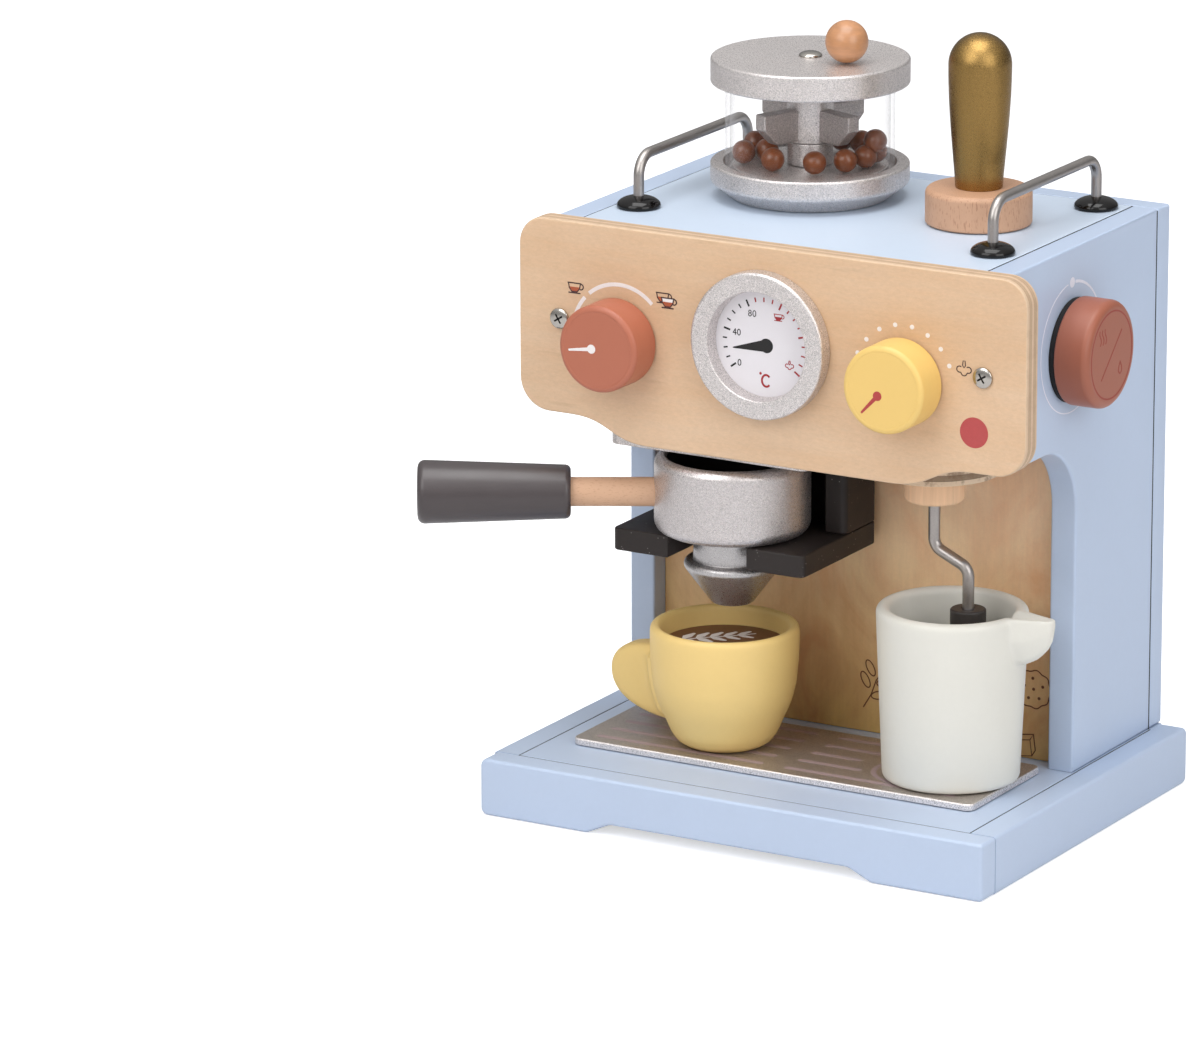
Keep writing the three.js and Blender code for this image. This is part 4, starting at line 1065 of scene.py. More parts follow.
def burnt_motifs():
    """Generic kitchen motifs as burnt outlines: sprigs, a biscuit, a spoon and sugar lumps."""
    forms = []

    def line(points, closed=False):
        forms.append(stroke(points, 0.55, closed=closed))

    def sprig(x, y, lean):
        line(leaning(x, y, lean, [(0, -11), (0.9, -4), (0.4, 3), (1.6, 9)]))
        for rise, side in ((-5, 1), (-2, -1), (1.5, 1), (4, -1)):
            (leaf,) = leaning(x, y, lean, [(side * 4.2, rise + 2.6)])
            line(oval(leaf.x, leaf.y, 3.7, 1.7, lean + (38 if side > 0 else 142)), True)

    def biscuit(x, y, radius):
        ridge, waves, edge = 0.35, 9, []
        for a in around(72):
            reach = radius + ridge * math.cos(waves * a)
            edge.append(Vector((x, y)) + reach * Vector((math.cos(a), math.sin(a))))
        line(edge, True)
        for reach, angle in ((0, 0), (4.6, 20), (4.8, 95), (4.5, 165), (4.7, 240), (4.6, 305)):
            turn = math.radians(angle)
            spot = Vector((reach * math.cos(turn), reach * math.sin(turn)))
            forms.append(blot(circle(x + spot.x, y + spot.y, 0.7, 16)))

    def lump(x, y, lean):
        line(leaning(x, y, lean, [(-4, -4), (3, -4), (3, 3), (-4, 3)]), True)
        line(leaning(x, y, lean, [(-4, 3), (-2, 5.4), (5, 5.4), (3, 3)]))
        line(leaning(x, y, lean, [(5, 5.4), (5, -1.6), (3, -4)]))

    sprig(7, 46, -24)
    sprig(-52, 62, 18)
    biscuit(84, 56, 8.2)
    for spot in ((80, 30, 8), (38, 42, -6), (-76, 40, 12)):
        lump(*spot)
    line([point + Vector((25, 66)) for point in oval(0, 0, 3.4, 4.8, -8)], True)
    line([(24.2, 61.2), (22.8, 43.6)])
    line([(25.4, 61.1), (24.6, 43.4)])
    line(arc(23.7, 43.4, 0.9, 180, 360, 8))
    return forms


class COFFEE_MAKER_OT_body(bpy.types.Operator):
    """Builds the plain boards, the arched side walls, the painted gap shade and the splash back"""

    bl_idname = "coffee_maker.body"
    bl_label = "Body Panels"

    def execute(self, context):
        plain_boards()
        side_panel("left")
        side_panel("right")
        side_ring()
        seams()
        low, high = span("splash_back")
        form = board(low, high, 0.2)
        # Its veneer is lighter at the top and darker at the foot, painted light and shade.
        piece("splash_board", ["ply_upright"], [form], ["splash_back"])
        place = facing((MACHINE.x, low.y, 0), *FRONT)
        print_on("splash_motifs", "burnt_line", place, burnt_motifs())
        return {"FINISHED"}


# ---------------------------------------------------------------- front panel and its prints


def panel_outline(low, high):
    """Outline of the front panel from its middle, with S-shaped steps to its lower middle."""
    half = (high.x - low.x) / 2
    wing, middle, top = high.z - 83.6, low.z, high.z
    flat, shoulder = 58, half - 25
    bend = (flat + shoulder) / 2
    lower, upper = 14, 12
    points = [Vector((flat, middle))]
    points += bezier((flat, middle), (bend, middle), (bend, wing), (shoulder, wing))
    points += arc(half - lower, wing + lower, lower, -90, 0, 10)
    points += arc(half - upper, top - upper, upper, 0, 90, 10)
    points += arc(upper - half, top - upper, upper, 90, 180, 10)
    points += arc(lower - half, wing + lower, lower, 180, 270, 10)
    points += [Vector((-shoulder, wing))]
    return points + bezier((-shoulder, wing), (-bend, wing), (-bend, middle), (-flat, middle))


def cup_icon(x, y, scale=1.0):
    """A little cup on its saucer: outline strokes and the filled lower half."""
    bowl = [(-2.9, 1.5), (-2.5, -0.6), (-1.3, -2.1), (1.3, -2.1), (2.5, -0.6), (2.9, 1.5)]
    rim, saucer = [(-3.1, 1.6), (3.1, 1.6)], [(-2.7, -2.65), (2.7, -2.65)]
    ear = arc(3.1, 0.2, 1.2, 80, -100, 10)
    fill = [(-2.4, -0.1), (-2.2, -0.9), (-1.2, -1.9), (1.2, -1.9), (2.2, -0.9), (2.4, -0.1)]
    lines = [stroke(scaled(x, y, scale, line), 0.55 * scale) for line in (bowl, rim, ear, saucer)]
    return lines, [blot(scaled(x, y, scale, fill))]


def steam_icon(x, y, scale, width):
    """A nozzle over a three-lobed cloud."""
    cloud = arc(-2.4, -0.9, 1.5, 60, 290, 12) + arc(0, -2.3, 1.6, 200, 340, 10)
    cloud += arc(2.4, -0.9, 1.5, -110, 120, 12)
    nozzle = [(-0.8, 1.1), (-0.5, 3.4), (0.5, 3.4), (0.8, 1.1)]
    tip = [(-0.8, 1.1), (0, 0), (0.8, 1.1)]
    return [stroke(scaled(x, y, scale, line), width) for line in (cloud, nozzle, tip)]


def phillips_head():
    """A low domed screw head on +Z from 0; its cross recess is painted black, painted shade."""
    head, rim, rise = 4.4, 0.9, 1.9
    form = domed([(head - 0.2, 0), (head, 0.2)], head, rim, rise, 10, 64)
    for turn in (0.55, 0.55 + QUARTER):
        groove = lofted(rectangle(-2.35, -0.48, 2.35, 0.48), [(0.18, 0.8), (0, 3)])
        form = carved(form, moved(groove, Matrix.Rotation(turn, 4, "Z")))

    # Faces inside the cross recess take black, painted shade.
    def sunk(face):
        middle = face.calc_center_median()
        return middle.xy.length < 2.42 and 0.5 < middle.z < 1.68

    return painted(form, 1, sunk)


def circle_through(a, b, c):
    """Middle and radius of the circle through three points."""
    a, b, c = map(Vector, (a, b, c))
    d = 2 * (a.x * (b.y - c.y) + b.x * (c.y - a.y) + c.x * (a.y - b.y))
    squares = [point.length_squared for point in (a, b, c)]
    x = sum(s * y for s, y in zip(squares, (b.y - c.y, c.y - a.y, a.y - b.y))) / d
    y = sum(s * x for s, x in zip(squares, (c.x - b.x, a.x - c.x, b.x - a.x))) / d
    return x, y, (a - Vector((x, y))).length


class COFFEE_MAKER_OT_front(bpy.types.Operator):
    """Builds the plywood front panel with its screws and printed scales"""

    bl_idname = "coffee_maker.front"
    bl_label = "Front Panel"

    def execute(self, context):
        low, high = span("front_panel")
        form = plate(panel_outline(low, high), 0, high.y - low.y, 0.9)
        form = moved(form, facing((MACHINE.x, high.y, 0), *FRONT))
        painted(form, 1, lambda face: abs(face.normal.y) < 0.8)
        piece("face_panel", ["ply_front", "panel_plies"], [form], ["front_panel"])
        self.prints(facing((MACHINE.x, low.y, 0), *FRONT))
        self.screws(low.y)
        return {"FINISHED"}

    def prints(self, place):
        def lay(name, colour, forms, lift=1.0):
            print_on(name, colour, place, forms, lift)

        first, last = (-85.7, 224.9), (-55.9, 223.8)
        x, y, radius = circle_through(first, (-73.4, 230.0), last)

        def angle(spot):
            return math.degrees(math.atan2(spot[1] - y, spot[0] - x))

        tail_end = (angle((-93.2, 215.6)) + 6) % 360
        sweep = arc(x, y, radius, angle(first), angle(last))
        tail = arc(x, y, radius, angle((-88.2, 222.4)), tail_end, 10)
        white = [stroke(sweep, 1.7, tips=1), stroke(tail, 1.7, tips=1)]
        dots = [(41.8, 215.3), (45.9, 221.5), (51.9, 226.6), (59.2, 229.3)]
        dots += [(67.0, 229.3), (74.3, 226.7), (80.4, 221.7), (84.4, 215.1)]
        lay("panel_white", "white_ink", white + [blot(circle(*dot, 1.0, 20)) for dot in dots])
        one, one_fill = cup_icon(-93.1, 226.6)
        back, back_fill = cup_icon(-50.5, 227.5, 0.99)
        near, near_fill = cup_icon(-48.1, 225.6, 0.99)
        lay("panel_brown", "brown_ink", one + back + steam_icon(91.2, 215.2, 0.86, 0.46))
        lay("panel_coffee", "coffee_ink", one_fill + back_fill, 0.7)
        bowl = [(-2.7, 1.4), (-2.4, -0.6), (-1.3, -2), (1.3, -2), (2.4, -0.6), (2.7, 1.4)]
        cover = blot(scaled(-48.2, 225.7, 1, bowl)[::-1])
        lay("near_cup_white", "white_ink", [cover], 1.5)
        lay("near_cup_brown", "brown_ink", near, 1.9)
        lay("near_cup_coffee", "coffee_ink", near_fill, 1.75)
        lay("panel_red", "disc_red", [blot(circle(96.1, 188.4, 6.5))])
        lay("knob_mark", "disc_red", [stroke(arc(-75.9, 197.5, 2, 0, 345, 24), 0.5, closed=True)])

    def screws(self, face):
        for side in ("left", "right"):
            node = f"{side}_panel_screw"
            spot = centre(node)
            form = moved(phillips_head(), facing((spot.x, face - 0.05, spot.z), *FRONT))
            finishes = ["bright_nickel", "gap_black"]
            piece(f"{side}_screw_head", finishes, [form], [node], sharp=30)


# ---------------------------------------------------------------- gauge


def numeral(figure, x, y, height=2.5):
    """A printed figure in single strokes."""
    width, half = height * 0.15, height / 2
    if figure == "4":
        stem, left, right = x + half * 0.25, x - half * 0.6, x + half * 0.65
        foot, bar, head = y - half, y - half * 0.35, y + half
        corners = [(stem, foot), (stem, head), (left, bar), (right, bar)]
        return [stroke(line, width) for line in zip(corners, corners[1:])]
    loops = {"0": [(0, 0.55, 1)], "8": [(0.5, 0.45, 0.5), (-0.48, 0.55, 0.52)]}
    return [
        stroke(oval(x, y + half * rise, half * wide, half * high), width, closed=True)
        for rise, wide, high in loops[figure]
    ]


def dial_ticks():
    """Black ticks up to the third long one, then red; the last one stands further out."""
    black, red = [], []
    first, step, outer, last = 216.6, 12.6, 19.5, 20
    for index in range(last + 1):
        angle = math.radians(first - step * index)
        is_long = index % 4 == 0
        ray = Vector((math.cos(angle), math.sin(angle)))
        out = 0.9 if index == last else 0
        inner = outer - (2.7 if is_long else 1.7)
        form = stroke([ray * (inner + out), ray * (outer + out)], 0.8 if is_long else 0.62, tips=1)
        (black if index <= 8 else red).append(form)
    return black, red


class COFFEE_MAKER_OT_gauge(bpy.types.Operator):
    """Builds the temperature gauge: silver ring, dial, ticks, figures and pointer"""

    bl_idname = "coffee_maker.gauge"
    bl_label = "Gauge"

    def execute(self, context):
        low, high = span("gauge_ring")
        spot = centre("gauge_ring")
        wider, aside, proud = 0.4, 0.25, 0.15
        outer, deep = (high.x - low.x) / 2 + wider, high.y - low.y
        inner, mouth, dial = 22.6, 23.2, 25
        corners = [(inner, 0, 0.2), (outer, 0, 0.2), (outer, deep, 1.3), (mouth, deep, 0.6)]
        form = moved(turned(corners, 144, True), facing((spot.x - aside, high.y, spot.z), *FRONT))
        piece("gauge_rim", ["silver_sparkle"], [form], ["gauge_ring"])
        dial_low, dial_high = span("gauge_dial")
        front = dial_low.y - proud
        disc = puck(dial, dial_high.y - front, 0, 0.1, 96)
        disc = moved(disc, facing((spot.x, dial_high.y, spot.z), *FRONT))
        piece("gauge_face", ["dial"], [disc], ["gauge_dial"])
        self.prints(facing((spot.x, front, spot.z), *FRONT))
        return {"FINISHED"}

    def prints(self, place):
        black, red = dial_ticks()
        figures = [("0", -11.7, -9.5), ("4", -14.0, 3.4), ("0", -12.0, 3.4)]
        for figure in figures + [("8", -6.8, 12.2), ("0", -4.7, 12.2)]:
            black += numeral(*figure)
        hub, tip = Vector((1.05, -0.85)), Vector((-14.7, -3.4))
        black += [blot(circle(*hub, 3.1, 40)), stroke([hub, tip], [5.4, 0.5], tips=2)]
        lines, fill = cup_icon(6.6, 12.2, 0.64)
        red += lines + fill + steam_icon(12.0, -7.6, 0.5, 0.4)
        letter = oval(1.0, -15.8, 2.0, 2.5)[4:29]
        red += [stroke(letter, 0.9, tips=1), blot(circle(-1.7, -12.9, 0.6, 16))]
        print_on("gauge_black", "black_ink", place, black)
        print_on("gauge_red", "dial_red", place, red)


# ---------------------------------------------------------------- knobs


def knob_form(radius, tall, front_round, crease=0.0):
    """A knob turned about +Z; a crease is a fine groove round its front."""
    corners = [(0, 0, 0), (radius, 0, 0.9), (radius, tall, front_round)]
    if crease:
        corners += [(crease + 0.28, tall, 0), (crease, tall - 0.14, 0), (crease - 0.28, tall, 0)]
    return turned(corners + [(0, tall, 0)], 128)


def pointer(spot, tip, hub, wide, narrow):
    """The printed pointer of a knob: a round hub and a stem."""
    return [blot(circle(*spot, hub, 32)), stroke([spot, tip], [wide, narrow], tips=3)]


class COFFEE_MAKER_OT_knobs(bpy.types.Operator):
    """Builds the two front knobs with their printed pointers"""

    bl_idname = "coffee_maker.knobs"
    bl_label = "Front Knobs"

    def execute(self, context):
        left = pointer((-2.7, 0), (-13.3, -1.5), 1.95, 1.7, 0.9)
        right = pointer((-2.25, -2.6), (-9.4, -10.3), 2.0, 1.9, 0.95)
        self.knob("left", "terracotta", "terracotta", "white_ink", left, 0.1)
        self.knob("right", "yellow_paint", "yellow", "red_ink", right, 0.6)
        return {"FINISHED"}

    def knob(self, side, slot, colour, print_colour, marks, aside):
        node = f"{side}_knob"
        low, high = span(node)
        spot = centre(node) + Vector((aside, 0, 0))
        longer, wider, crease_in = 2.2, 0.15, 2.7
        radius = (high.x - low.x) / 2 + wider
        form = knob_form(radius, high.y - low.y + longer, 2.1, radius - crease_in)
        form = moved(form, facing((spot.x, high.y, spot.z), *FRONT))
        piece(f"{side}_dial_knob", [colour], [form], [node], node)
        place = facing((spot.x, low.y - longer, spot.z), *FRONT)
        print_on(f"{side}_pointer", print_colour, place, marks, body=node)


class COFFEE_MAKER_OT_side_knob(bpy.types.Operator):
    """Builds the large side knob, a black painted-shade disc behind it and the marks on its face"""

    bl_idname = "coffee_maker.side_knob"
    bl_label = "Side Knob"

    def execute(self, context):
        low, high = span("side_knob")
        spot = centre("side_knob")

        def place(x):
            return facing((x, spot.y, spot.z), *RIGHT)

        def add(name, colour, form, node):
            piece(name, [colour], [form], [node], "side_knob")

        form = moved(knob_form((high.z - low.z) / 2, high.x - low.x, 3.4), place(low.x))
        # Its darker terracotta is painted shade.
        add("side_dial_knob", "side_terracotta", form, "side_knob")
        # A black disc fills the gap between the knob and the wall: painted shade.
        radius, clear, over = 22.1, 0.15, 0.4
        wall = span("right_side_panel")[1].x + clear
        gap_shade_disc = moved(puck(radius, low.x + over - wall, 0, 0, 96), place(wall))
        add("side_knob_spacer", "gap_black", gap_shade_disc, "side_knob_screw")
        marks = self.marks()
        print_on("side_marks", "engraved", place(high.x), marks, body="side_knob")
        return {"FINISHED"}

    def marks(self):
        """A ring, three waves of steam, a stroke across and a drop."""

        def wave(x):
            return [(x + 0.8 * math.sin(step / 2), 6 + 0.55 * step) for step in range(12)]

        waves = [wave(x) for x in (-10.4, -8, -5.6)]
        drop =[(8, -4.4)] + bezier((8, -4.4), (9.6, -7), (10.4, -8.6), (8, -9.6))
        drop += bezier((8, -9.6), (5.6, -8.6), (6.4, -7), (8, -4.4))
        ring = stroke(circle(0, 0, 18.5, 96), 0.7, closed=True)
        return [ring] + [stroke(line, 0.6) for line in (*waves, [(-9, -9), (9, 9)], drop)]


# ---------------------------------------------------------------- brewing group and portafilter


class COFFEE_MAKER_OT_group(bpy.types.Operator):
    """Builds the brewing group: silver plate, hollow block and slotted fork"""

    bl_idname = "coffee_maker.group"
    bl_label = "Brewing Group"

    def execute(self, context):
        bowl = centre("portafilter_spout")
        low, high = span("head_plate")
        form = plate(rectangle(low.x, low.y, high.x, high.y, 4), low.z, high.z, 0.25)
        piece("group_plate", ["silver_sparkle"], [form], ["head_plate"])
        low, high = span("group_block")
        form = plate(rectangle(low.x, low.y, high.x, high.y, 3), low.z, high.z, 0.8)
        recess = lofted(circle(bowl.x, bowl.y, 39.5, 128), [(0, low.z - 5), (0, high.z + 5)])
        form = carved(form, recess)
        piece("group_housing", ["charcoal"], [form], ["group_block"], sharp=30)
        self.fork(bowl)
        return {"FINISHED"}

    def fork(self, bowl):
        low, high = span("group_fork")
        slot_half, corner = 19, 3
        left, right, front, back = low.x + corner, high.x - corner, low.y + corner, high.y - corner
        outline = [Vector((bowl.x + slot_half, low.y))]
        middles = (right, front), (right, back), (left, back), (left, front)
        for quarter, middle in enumerate(middles):
            outline += arc(*middle, corner, 90 * quarter - 90, 90 * quarter, 6)
        outline.append(Vector((bowl.x - slot_half, low.y)))
        outline += arc(bowl.x, bowl.y, slot_half, 180, 0, 40)
        form = plate(outline, low.z, high.z, 0.7)
        piece("group_rest", ["charcoal"], [form], ["group_fork"])


class COFFEE_MAKER_OT_portafilter(bpy.types.Operator):
    """Builds the portafilter: spout, bowl, dowel and grip"""

    bl_idname = "coffee_maker.portafilter"
    bl_label = "Portafilter"

    def execute(self, context):
        axis = centre("portafilter_spout")
        self.bowl(axis)
        self.spout(axis)
        self.handle(axis)
        return {"FINISHED"}

    def bowl(self, axis):
        low, high = span("portafilter_bowl")
        tall, outer, inner, floor = high.z - low.z, 33.2, 27.5, 12
        corners = [(0, 0, 0), (outer, 0, 5), (outer, tall, 4), (inner, tall, 1.6)]
        form = turned(corners + [(inner, floor, 1.6), (0, floor, 0)], 128)

        # The faces inside the bowl take black, painted shade under the head's plate.
        def hollow(face):
            middle = face.calc_center_median()
            return middle.xy.length < inner + 0.05 and middle.z > 8

        form = stood(painted(form, 1, hollow), "portafilter_bowl", axis)
        finishes = ["bowl_sparkle", "bowl_black"]
        piece("filter_bowl", finishes, [form], ["portafilter_bowl"], "portafilter")

    def spout(self, axis):
        neck, wide, tip, drop, plug = 16.6, 22, 8.7, 12.4, 8
        tall = span("portafilter_bowl")[0].z - 0.3 - span("portafilter_spout")[0].z
        shoulder = tall - drop
        corners = [(0, 0, 0), (tip, 0, 2.2), (wide, shoulder - 1, 2.4), (wide - 2.6, shoulder, 0.6)]
        corners += [(neck, shoulder, 0.8), (neck, tall, 0.3), (plug, tall, 0)]
        corners += [(plug, tall + 6, 0), (0, tall + 6, 0)]
        form = stood(turned(corners, 112), "portafilter_spout", axis)
        replaces = ["portafilter_spout"]
        piece("filter_spout", ["spout_sparkle"], [form], replaces, "spout")

    def handle(self, axis):
        start, end, inner, outer, dowel_start = 68.2, 132.9, 11.4, 13.6, 29.3
        dowel_end, dowel_radius = start + 20, 6.2
        swing = Matrix.Rotation(math.radians(30), 4, "Z") @ Matrix.Rotation(-QUARTER, 4, "Y")
        along = at(axis.x, axis.y, centre("portafilter_bowl").z) @ swing
        corners = [(0, dowel_start, 0), (dowel_radius, dowel_start, 0)]
        dowel = turned(corners + [(dowel_radius, dowel_end, 0.6), (0, dowel_end, 0)], 48)
        grip = turned([(0, start, 0), (inner, start, 2.4), (outer, end, 3), (0, end, 0)], 96)
        parts = (("dowel", "beech", "beech_dowel", dowel), ("grip", "dark_paint", "grip", grip))
        for part, slot, colour, form in parts:
            replaces = [f"portafilter_{part}"]
            piece(f"filter_{part}", [colour], [moved(form, along)], replaces, "portafilter")


# ---------------------------------------------------------------- steam wand and rails


class COFFEE_MAKER_OT_wand(bpy.types.Operator):
    """Builds the steam wand under the head: plywood disc, beech collar, bent rod and tip"""

    bl_idname = "coffee_maker.wand"
    bl_label = "Steam Wand"

    def execute(self, context):
        spot = centre("wand_mount")
        disc, thick, collar = 28.2, 12, 12.75
        form = stood(puck(disc, thick, 0.7, 0.7, 112), "wand_mount")
        painted(form, 1, lambda face: abs(face.normal.z) < 0.8)
        piece("wand_disc", ["ply_disc", "mount_plies"], [form], ["wand_mount"])
        low, high = span("wand_collar")
        form = stood(puck(collar, high.z - low.z, 1.5, 0.2, 80), "wand_collar", spot)
        piece("wand_ferrule", ["beech_collar"], [form], ["wand_collar"])
        self.rod(spot)
        self.tip()
        return {"FINISHED"}

    def rod(self, spot):
        low, high = span("wand_rod")
        tip, head = centre("wand_tip"), span("head_floor")[0].z
        corners = [(spot.x, high.z), (spot.x, head - 45.3), (tip.x, head - 52.9), (tip.x, low.z)]
        form = swept(bent([Vector((x, spot.y, z)) for x, z in corners], 6), 2.5)
        piece("wand_pipe", ["steel_rod"], [form], ["wand_rod"], "wand")

    def tip(self):
        low, high = span("wand_tip")
        tall, wide, bore, deep = high.z - low.z, 7.6, 2.7, 5
        corners = [(0, 0, 0), (wide, 0, 0.9), (wide, tall, 0.9), (bore, tall, 0.2)]
        form = turned(corners + [(bore, tall - deep, 0), (0, tall - deep, 0)], 64)
        form = stood(form, "wand_tip")
        piece("wand_nozzle", ["wand_tip"], [form], ["wand_tip"], "wand")


class COFFEE_MAKER_OT_rails(bpy.types.Operator):
    """Builds the two steel rails on the roof with their black feet"""

    bl_idname = "coffee_maker.rails"
    bl_label = "Rails"

    def execute(self, context):
        radius = 2.25
        for side in ("left", "right"):
            low, high = span(f"{side}_rail")
            front, back = (centre(f"{side}_rail_{end}_foot") for end in ("front", "back"))
            top = high.z - radius
            path = [(front, low.z), (front, top), (back, top), (back, low.z)]
            form = swept(bent([Vector((spot.x, spot.y, z)) for spot, z in path], 9), radius)
            piece(f"{side}_bar", ["steel_rod"], [form], [f"{side}_rail"])
            for end in ("front", "back"):
                self.foot(side, end)
        return {"FINISHED"}

    def foot(self, side, end):
        node = f"{side}_rail_{end}_foot"
        low, high = span(node)
        wide, tall = (high.x - low.x) / 2, 5
        form = stood(domed([(wide - 0.7, 0), (wide - 0.2, 0.2)], wide, 0.7, tall, 12, 72), node)
        piece(f"{side}_{end}_cap", ["black_gloss"], [form], [node])


# ---------------------------------------------------------------- grinder

# How deep the floor of the grinder's base lies below its rim.
BED_DEPTH = 1.3


class COFFEE_MAKER_OT_grinder(bpy.types.Operator):
    """Builds the grinder: base, jar, beads, blades and the lid with its crank ball"""

    bl_idname = "coffee_maker.grinder"
    bl_label = "Grinder"

    def execute(self, context):
        axis = centre("grinder_base")
        self.base(axis)
        self.beads(axis)
        self.rotor(axis)
        self.blades(axis)
        return {"FINISHED"}

    def base(self, axis):
        low, high = span("grinder_base")
        wide, tall = (high.x - low.x) / 2, high.z - low.z
        seat, floor = tall - 4, tall - BED_DEPTH
        corners = [(0, 0, 0), (33.4, 0, 1), (wide, 6.8, 2.2), (wide, tall, 1.1), (36.8, tall, 0.4)]
        corners += [(36.8, seat, 0), (33.2, seat, 0), (33.2, floor, 0.4), (0, floor, 0)]
        form = stood(turned(corners, 144), "grinder_base")
        piece("grinder_bed", ["silver_sparkle"], [form], ["grinder_base"])
        low, high = span("grinder_boss")
        form = stood(puck(9.7, high.z - low.z, 0.3, 0.6, 56), "grinder_boss", axis)
        piece("grinder_stub", ["silver_sparkle"], [form], ["grinder_boss"])
        low, high = span("grinder_jar")
        inner, outer, tall = 34, 36, high.z - low.z
        corners = [(inner, 0, 0.6), (outer, 0, 0.6), (outer, tall, 0.8), (inner, tall, 0.8)]
        form = stood(turned(corners, 144, True), "grinder_jar", axis)
        piece("grinder_glass", ["clear_plastic"], [form], ["grinder_jar"])

    def beads(self, axis):
        """The eight beads, and three more that lie on them; each is turned its own way."""
        nodes = [f"bead_{number}" for number in range(1, 9)]
        spots = [centre(node) for node in nodes]
        extra = ((28.5, 5.2, 6.5), (0.9, 26.5, 0), (-16.5, -7.8, 0))
        spots += [Vector((axis.x + x, axis.y + y, spots[0].z + rise)) for x, y, rise in extra]
        for number, spot in enumerate(spots, 1):
            chance = Random(number)
            lean = Matrix.Rotation(chance.uniform(0, math.pi), 4, "X")
            lean = lean @ Matrix.Rotation(chance.uniform(0, TURN), 4, "Z")
            form = moved(ball(5, 20, 40), Matrix.Translation(spot) @ lean)
            replaces = nodes[number - 1 : number]
            piece(f"coffee_bead_{number}", ["bead_varnish"], [form], replaces)

    def rotor(self, axis):
        low, high = span("grinder_lid")
        form = puck((high.x - low.x) / 2, high.z - low.z, 1, 1.1, 144)
        form = stood(form, "grinder_lid", axis)
        # The lid's top takes the brighter silver, a painted reflection of the backdrop.
        painted(form, 1, lambda face: face.normal.z > 0.98)
        finishes = ["silver_sparkle", "lid_sparkle"]
        piece("grinder_cover", finishes, [form], ["grinder_lid"], "grinder_rotor")
        cap, rise, seat = 5, 2.2, high.z + 0.05
        form = domed([(cap - 0.2, 0)], cap, 0.25, rise, 10, 64)
        form = moved(form, at(axis.x, axis.y, seat))
        replaces = ["grinder_cap_screw"]
        piece("grinder_cap", ["bright_nickel"], [form], replaces, "grinder_rotor")
        spot, top = centre("grinder_crank_ball"), span("grinder_crank_ball")[1].z
        radius = 9.1
        form = moved(ball(radius, 32, 64), at(spot.x, spot.y, top - radius))
        replaces = ["grinder_crank_ball"]
        piece("crank_ball", ["beech_ball"], [form], replaces, "grinder_rotor")

    def blades(self, axis):
        floor = span("grinder_base")[1].z - BED_DEPTH
        bottom, turned_by = floor + 11.2, -0.306 * TURN
        reach, bevel, tall, half = 28, 7, 13.5, 3.1
        corners = [(-reach + bevel, 0, 1), (reach - bevel, 0, 1), (reach, bevel, 1)]
        corners += [(reach, tall, 0.8), (-reach, tall, 0.8), (-reach, bevel, 1)]
        forms = []
        for turn in (0, QUARTER):
            blade = plate(filleted(corners, steps=3), -half, half, 0.7)
            place = Matrix.Rotation(turned_by + turn, 4, "Z") @ facing((0, 0, 0), *FRONT)
            forms.append(moved(blade, at(axis.x, axis.y, bottom) @ place))
        replaces = ["grinder_blades"]
        piece("grinder_cross", ["blade_sparkle"], forms, replaces, "grinder_rotor")
        hub_low = floor + 10.3
        hub = puck(10, span("grinder_lid")[0].z - hub_low, 0.3, 0.3, 72)
        hub = moved(hub, at(axis.x, axis.y, hub_low))
        piece("grinder_hub", ["silver_sparkle"], [hub], body="grinder_rotor")


# ---------------------------------------------------------------- tamper, cup and jug


class COFFEE_MAKER_OT_tamper(bpy.types.Operator):
    """Builds the tamper: beech base and flared gold handle"""

    bl_idname = "coffee_maker.tamper"
    bl_label = "Tamper"

    def execute(self, context):
        low, high = span("tamper_base")
        spot = centre("tamper_base")
        form = stood(puck((high.x - low.x) / 2, high.z - low.z, 1.2, 2.6, 96), "tamper_base")
        piece("tamper_puck", ["beech_puck"], [form], ["tamper_base"], "tamper")
        start = high.z - 0.2
        tall = span("tamper_handle")[1].z - start
        grip, foot, edge = 13.3, 10, 0.5
        corners = [(0, 0), (foot - 0.4, 0), (foot, edge)]
        for share in (step / 12 for step in range(13)):
            flare = math.sin(share * QUARTER) ** 1.2
            corners.append((foot + (grip - foot) * flare, edge + share * (tall - grip - edge)))
        for angle in (QUARTER * step / 16 for step in range(1, 16)):
            corners.append((grip * math.cos(angle), tall - grip + grip * math.sin(angle)))
        form = moved(lathed(corners + [(0, tall)], 80), at(spot.x, spot.y, start))
        piece("tamper_grip", ["gold_sparkle"], [form], ["tamper_handle"], "tamper")
        return {"FINISHED"}


